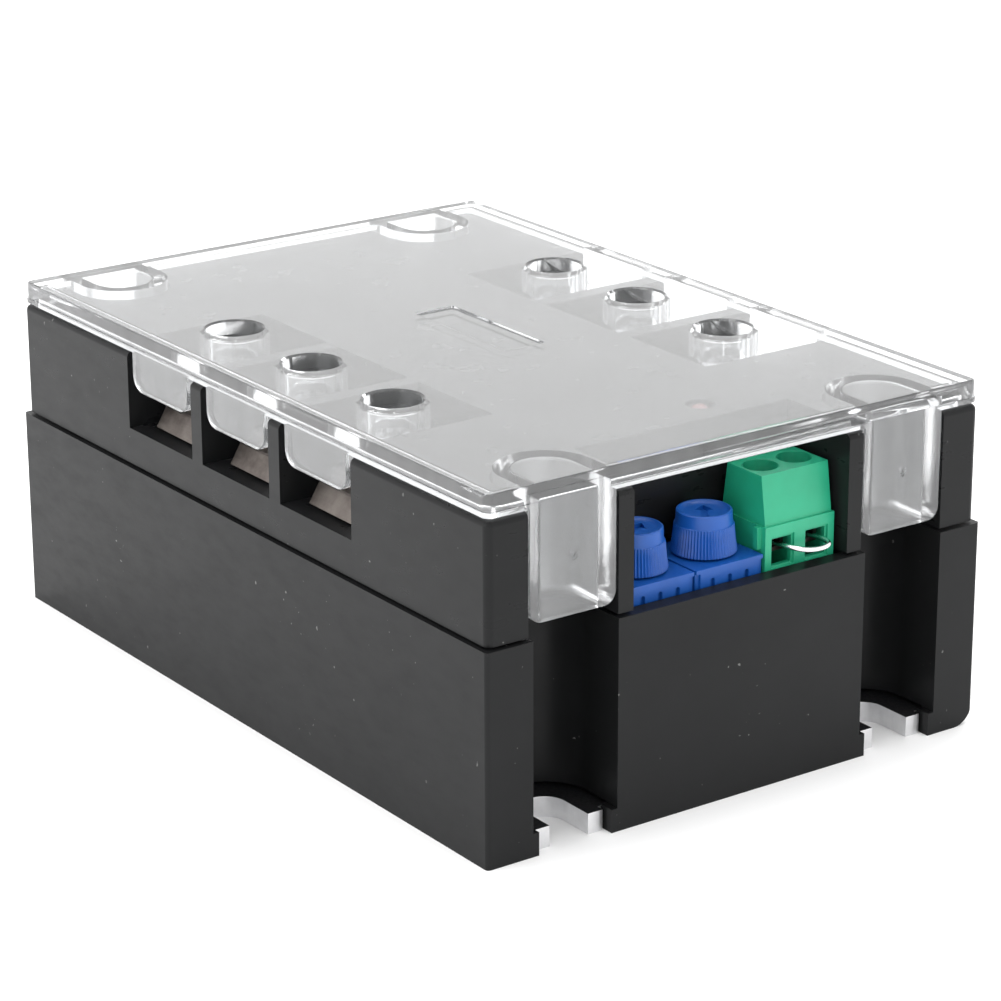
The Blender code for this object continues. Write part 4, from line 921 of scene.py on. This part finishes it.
def make_terminal_screw(name, at):
    low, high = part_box(f"terminal_screw_{name}")
    top, tip = high.z, low.z
    head = top - HEAD_HEIGHT
    profile = [(0.0, top), (1.9 * MM, top)]
    profile += [(1.9 * MM + u, top - 1.4 * MM + v) for u, v in (
        (1.4 * MM * math.sin(a), 1.4 * MM * math.cos(a)) for a in (
            math.radians(15 * i) for i in range(1, 6)
        )
    )]
    profile += [(3.3 * MM, top - 1.5 * MM), (3.3 * MM, head + 0.15 * MM), (3.15 * MM, head)]
    profile += thread_profile(2.0 * MM, 1.72 * MM, head, tip, 0.7 * MM)
    screw = turned(f"power_screw_{name}", profile, at[:2], 72)
    for blade, (u, v) in (("a", (2.1 * MM, 0.5 * MM)), ("b", (0.5 * MM, 2.1 * MM))):
        cutter = box(
            f"recess_{name}_{blade}", (at.x - u, at.y - v, top - 1.5 * MM),
            (at.x + u, at.y + v, top + BEYOND),
        )
        boolean(screw, cutter)
    settle(screw)
    finish(screw, STEEL, f"screw_{name}", f"terminal_screw_{name}", weighted=False)


def thread_profile(crest, root, top, tip, pitch):
    """Rings that stand in for a thread, from under a head down to a chamfered tip."""
    rows = [(crest, top), (crest, top - pitch / 2)]
    height = top - pitch / 2
    while height - pitch > tip + 0.5 * MM:
        rows += [(root, height - pitch / 2), (crest, height - pitch)]
        height -= pitch
    return rows + [(root, tip + 0.4 * MM), (root - 0.4 * MM, tip), (0.0, tip)]


# ---- Trimmers -----------------------------------------------------------------------------
def make_trimmer(number):
    low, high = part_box(f"trimmer_body_{number}")
    x, y = (low.x + high.x) / 2, (low.y + high.y) / 2
    bottom = BOARD_HI.z + GAP
    body = box(f"trimmer_case_{number}", (low.x, low.y, bottom), high)
    for i in (-1, 0, 1):
        at = x + i * GROOVE_PITCH
        groove = prism(
            f"groove_{number}_{i + 1}",
            rounded_rectangle(0.3 * MM, 1.0 * MM, 0.28 * MM, 4),
            low.y - BEYOND, low.y + 0.45 * MM, plane="XZ", centre=(at, high.z - 2.3 * MM),
        )
        boolean(body, groove)
    for i, (x0, x1) in enumerate(((low.x - BEYOND, low.x + 0.6 * MM),
                                  (high.x - 0.6 * MM, high.x + BEYOND))):
        rebate = box(
            f"rebate_{number}_{i}", (x0, low.y - BEYOND, bottom - BEYOND),
            (x1, low.y + 0.3 * MM, high.z - 0.5 * MM),
        )
        boolean(body, rebate)
    settle(body)
    socket = cylinder(f"socket_{number}", 1.8 * MM, high.z - 2.0 * MM, high.z + BEYOND, (x, y))
    boolean(body, socket)
    settle(body)
    bevel(body, 0.13 * MM, 2)
    settle(body)
    for i, (dx, dy) in enumerate(((-2.54, 2.0), (0.0, -2.0), (2.54, 2.0))):
        pin = cylinder(
            f"pin_{number}_{i}", 0.32 * MM, low.z, bottom + GAP, (x + dx * MM, y + dy * MM), 16
        )
        boolean(body, pin, "UNION")
    finish(body, BLUE, "root", f"trimmer_body_{number}")
    make_knob(number, x, y)


def make_knob(number, x, y):
    """Tapered knob: a smooth collar over a ribbed skirt, with an arrow-shaped slot in its top."""
    low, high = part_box(f"trimmer_knob_{number}")
    top, base = high.z, high.z - KNOB_HEIGHT
    shoulder = base + KNOB_SHOULDER
    ribs, per_rib = 60, 6
    steps = ribs * per_rib
    shape = bmesh.new()
    rows = [
        (0.0, top - 0.45 * MM, 0.0),
        (2.3 * MM, top - 0.38 * MM, 0.0),
        (2.85 * MM, top - 0.22 * MM, 0.0),
        (3.0 * MM, top, 0.0),
        (3.15 * MM, top, 0.0),
        (3.28 * MM, top - 0.12 * MM, 0.0),
        (3.36 * MM, shoulder + 0.1 * MM, 0.0),
        (3.40 * MM, shoulder, 0.0),
        (3.50 * MM, shoulder - 0.06 * MM, 0.1),
        (3.56 * MM, shoulder - 0.22 * MM, 1.0),
        (3.62 * MM, shoulder - 1.0 * MM, 1.0),
        (3.72 * MM, shoulder - 2.0 * MM, 1.0),
        (3.84 * MM, shoulder - 2.8 * MM, 1.0),
        (3.92 * MM, base + 0.25 * MM, 1.0),
        (3.93 * MM, base, 0.8),
        (1.5 * MM, base, 0.0),
        (1.5 * MM, low.z, 0.0),
        (0.0, low.z, 0.0),
    ]
    rings = []
    for radius, height, rib in rows:
        if radius < ON_AXIS:
            rings.append([shape.verts.new((x, y, height))])
            continue
        ring = []
        for i in range(steps):
            angle = 2 * math.pi * i / steps
            wave = 0.5 + 0.5 * math.cos(2 * math.pi * i / per_rib)
            r = radius - rib * RIB_DEPTH * (1 - wave)
            ring.append(shape.verts.new((
                x + r * math.cos(angle), y + r * math.sin(angle), height
            )))
        rings.append(ring)
    join_rings(shape, rings, steps)
    mesh = bpy.data.meshes.new(f"knob_{number}")
    shape.to_mesh(mesh)
    shape.free()
    knob = new_object(f"trimmer_dial_{number}", mesh)
    arrow = [(-0.45, -2.2), (0.45, -2.2), (0.45, 0.55), (1.15, 0.55), (0.0, 2.1), (-1.15, 0.55),
             (-0.45, 0.55)]
    turn = math.radians(-60 if number == 1 else -35)
    outline = [
        (
            MM * (u * math.cos(turn) - v * math.sin(turn)),
            MM * (u * math.sin(turn) + v * math.cos(turn)),
        )
        for u, v in arrow
    ]
    boolean(knob, prism(
        f"arrow_{number}", outline, top - 0.9 * MM, top + BEYOND, centre=(x, y)
    ))
    finish(
        knob, BLUE, f"knob_{number}", f"trimmer_knob_{number}", sharp=40.0,
        weighted=False,
    )


# ---- Control terminal ---------------------------------------------------------------------
def make_control_block():
    low, high = BLOCK_LO.copy(), BLOCK_HI
    low.x = high.x - 10.4 * MM
    ledge = low.z + 7.6 * MM
    block = box("terminal_block_case", low, (high.x, high.y, ledge))
    front, back = low.y + 0.2 * MM, high.y - 0.15 * MM
    outline = [
        (front, ledge - GAP), (front + 0.15 * MM, ledge), (front + 1.0 * MM, high.z),
        (back - 0.9 * MM, high.z), (back, ledge), (back, ledge - GAP),
    ]
    head = prism("block_head", outline, low.x + 0.2 * MM, high.x - 0.2 * MM, plane="YZ")
    boolean(block, head, "UNION")
    tongue = box(
        "block_tongue", (BLOCK_LO.x, low.y + 0.8 * MM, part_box("trimmer_body_2")[1].z + GAP),
        (low.x + 0.5 * MM, low.y + 1.6 * MM, ledge - 0.1 * MM),
    )
    boolean(block, tongue, "UNION")
    for number in (1, 2):
        cut_pole(block, number, low, high)
    settle(block)
    weld(block)
    bevel(block, 0.12 * MM, 2)
    finish(block, GREEN, "root", "control_block")


def cut_pole(block, number, low, high):
    at = centre_of(f"control_screw_{number}")
    seat = low.z + 9.7 * MM
    roof = seat - 0.7 * MM
    board = low.z
    cutters = [
        cylinder(f"pole_bore_{number}", 2.1 * MM, seat, high.z + BEYOND, at[:2]),
        cylinder(f"pole_neck_{number}", 1.3 * MM, roof - GAP, seat + GAP, at[:2]),
        box(
            f"pole_cavity_{number}", (at.x - 2.2 * MM, low.y + 1.0 * MM, board + 1.0 * MM),
            (at.x + 2.2 * MM, high.y - 1.0 * MM, roof),
        ),
        box(
            f"pole_window_{number}", (at.x - 1.7 * MM, low.y - BEYOND, board + 2.4 * MM),
            (at.x + 1.7 * MM, low.y + 0.3 * MM, board + 6.2 * MM),
        ),
        box(
            f"pole_mouth_{number}", (at.x - 1.45 * MM, low.y, board + 2.6 * MM),
            (at.x + 1.45 * MM, low.y + 1.3 * MM, board + 5.9 * MM),
        ),
    ]
    pin_lo, pin_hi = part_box(f"control_pin_{number}")
    cutters.append(box(
        f"pin_slot_{number}", (pin_lo.x - GAP, pin_hi.y - 0.9 * MM, board - BEYOND),
        (pin_hi.x + GAP, pin_hi.y + GAP, board + 1.3 * MM),
    ))
    for cutter in cutters:
        boolean(block, cutter)


def make_control_screw(number):
    low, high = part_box(f"control_screw_{number}")
    at = centre_of(f"control_screw_{number}")
    head = high.z - POLE_HEAD_HEIGHT
    profile = [
        (0.0, high.z), (1.6 * MM, high.z), (1.8 * MM, high.z - 0.2 * MM),
        (1.8 * MM, head + 0.1 * MM), (1.7 * MM, head),
    ]
    profile += thread_profile(1.0 * MM, 0.82 * MM, head, low.z, 0.45 * MM)
    screw = turned(f"pole_screw_metal_{number}", profile, at[:2], 64)
    slot = box(
        f"slot_{number}", (at.x - 2.0 * MM, at.y - 0.35 * MM, high.z - 0.8 * MM),
        (at.x + 2.0 * MM, at.y + 0.35 * MM, high.z + BEYOND),
    )
    boolean(screw, slot)
    finish(
        screw, STEEL, f"pole_screw_{number}", f"control_screw_{number}",
        weighted=False,
    )


def make_wire_link():
    """The bare jumper between the two control poles, on the route of its CAD solid."""
    first, second = centre_of("control_screw_1"), centre_of("control_screw_2")
    low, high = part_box("wire_link")
    radius = WIRE_RADIUS
    x1, x2 = first.x, second.x
    span, sag, z = x2 - x1, WIRE_SAG, high.z - radius
    mouth, loop_y = BLOCK_LO.y, low.y + radius
    inside, straight = first.y + 1.2 * MM, first.y - 1.2 * MM
    route = [
        (x1, inside, z),
        (x1, straight, z),
        (x1 + 0.02 * span, (straight + mouth) / 2, z),
        (x1 + 0.18 * span, (mouth + loop_y) / 2, z - sag / 4),
        (x1 + 0.5 * span, loop_y + sag / 5, z - sag * 0.8),
        (x1 + 0.88 * span, loop_y, z - sag),
        (x2 + 0.1 * span, loop_y + sag * 0.6, z - sag * 0.65),
        (x2 + 0.11 * span, mouth - sag / 5, z - sag / 5),
        (x2 + 0.01 * span, (straight + mouth) / 2, z),
        (x2, straight, z),
        (x2, inside, z),
    ]
    curve = bpy.data.curves.new("jumper_wire", "CURVE")
    curve.dimensions = "3D"
    curve.bevel_depth = radius
    curve.bevel_resolution = 6
    curve.use_fill_caps = True
    spline = curve.splines.new("POLY")
    points = smooth_route([Vector(p) for p in route], 10)
    spline.points.add(len(points) - 1)
    for point, at in zip(spline.points, points):
        point.co = (*at, 1.0)
    spline.use_smooth = True
    link = bpy.data.objects.new("jumper_wire", curve)
    curve.materials.append(TINNED)
    MADE.objects.link(link)
    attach(link, "root")
    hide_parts("wire_link")


def smooth_route(points, steps):
    padded = [points[0]] + points + [points[-1]]
    route = []
    for i in range(len(points) - 1):
        a, b, c, d = padded[i:i + 4]
        for step in range(steps):
            t = step / steps
            route.append(
                0.5 * (2 * b + (c - a) * t + (2 * a - 5 * b + 4 * c - d) * t**2
                       + (3 * b - a - 3 * c + d) * t**3)
            )
    return route + [points[-1]]


# ---- Inner pieces keep their CAD shape ----------------------------------------------------
def dress_inner_pieces():
    looks = {
        "ceramic_substrate": alumina(), "thyristor_die": silicon(), "gate_header": BLACK,
        "potting": potting_resin(), "control_board": circuit_board(), "optocoupler": BLACK,
        "controller_chip": BLACK, "supply_capacitor": capacitor_sleeve(),
        "status_led": indicator_lens(), "control_pin": NICKEL, "control_clamp": NICKEL,
    }
    for node, obj in frame["nodes"].items():
        for prefix, material in looks.items():
            if node.startswith(prefix):
                obj.data.materials.clear()
                obj.data.materials.append(material)
                for polygon in obj.data.polygons:
                    polygon.material_index = 0


# ---- Stage --------------------------------------------------------------------------------
CAMERA_PLACE = Vector((-0.24184, -0.34608, 0.16994))
CAMERA_DIRECTION = Vector((0.54507, 0.76978, -0.33217))
CAMERA_ROLL = math.radians(-0.22)
CAMERA_LENS = 127.1


def make_camera():
    data = bpy.data.cameras.new("camera")
    data.lens = CAMERA_LENS
    data.sensor_width = 36.0
    data.clip_start = 0.01
    camera = bpy.data.objects.new("camera", data)
    bpy.context.scene.collection.objects.link(camera)
    aim = CAMERA_DIRECTION.to_track_quat("-Z", "Y").to_matrix().to_4x4()
    camera.matrix_world = (
        Matrix.Translation(CAMERA_PLACE) @ aim @ Matrix.Rotation(CAMERA_ROLL, 4, "Z")
    )
    bpy.context.scene.camera = camera


def make_light(name, place, target, size, power):
    data = bpy.data.lights.new(name, "AREA")
    data.shape = "RECTANGLE"
    data.size, data.size_y = size
    data.energy = power
    data.color = (1.0, 1.0, 1.0)
    light = bpy.data.objects.new(name, data)
    light.location = place
    direction = Vector(target) - Vector(place)
    light.rotation_euler = direction.to_track_quat("-Z", "Y").to_euler()
    bpy.context.scene.collection.objects.link(light)


def make_stage():
    floor = prism("floor", rounded_rectangle(3.0, 3.0, 0.5), -0.01, 0.0)
    settle(floor)
    n = Nodes("floor_look")
    n.set(Base_Color=(0.94, 0.94, 0.94, 1.0), Roughness=0.9)
    floor.data.materials.append(n.material)
    SCRATCH.objects.unlink(floor)
    MADE.objects.link(floor)
    world = bpy.data.worlds.new("studio")
    world.use_nodes = True
    world.node_tree.nodes["Background"].inputs["Color"].default_value = (1.0, 1.0, 1.0, 1.0)
    world.node_tree.nodes["Background"].inputs["Strength"].default_value = 1.4
    bpy.context.scene.world = world
    make_light("overhead", (0.1, 0.2, 0.9), (0, 0, 0), (0.9, 0.9), 6.0)
    make_light("left", (-0.8, 0.1, 0.35), (0, 0, 0.02), (0.5, 0.5), 2.0)
    settings = bpy.context.scene.view_settings
    settings.view_transform = "Standard"
    settings.look = "None"


make_camera()
make_stage()
make_base_plate()
make_lower_housing()
make_upper_housing()
make_cover()
for pole in POLES:
    make_power_pole(pole)
for trimmer in (1, 2):
    make_trimmer(trimmer)
make_control_block()
for pole in (1, 2):
    make_control_screw(pole)
make_wire_link()
dress_inner_pieces()

for leftover in list(SCRATCH.objects):
    bpy.data.objects.remove(leftover)
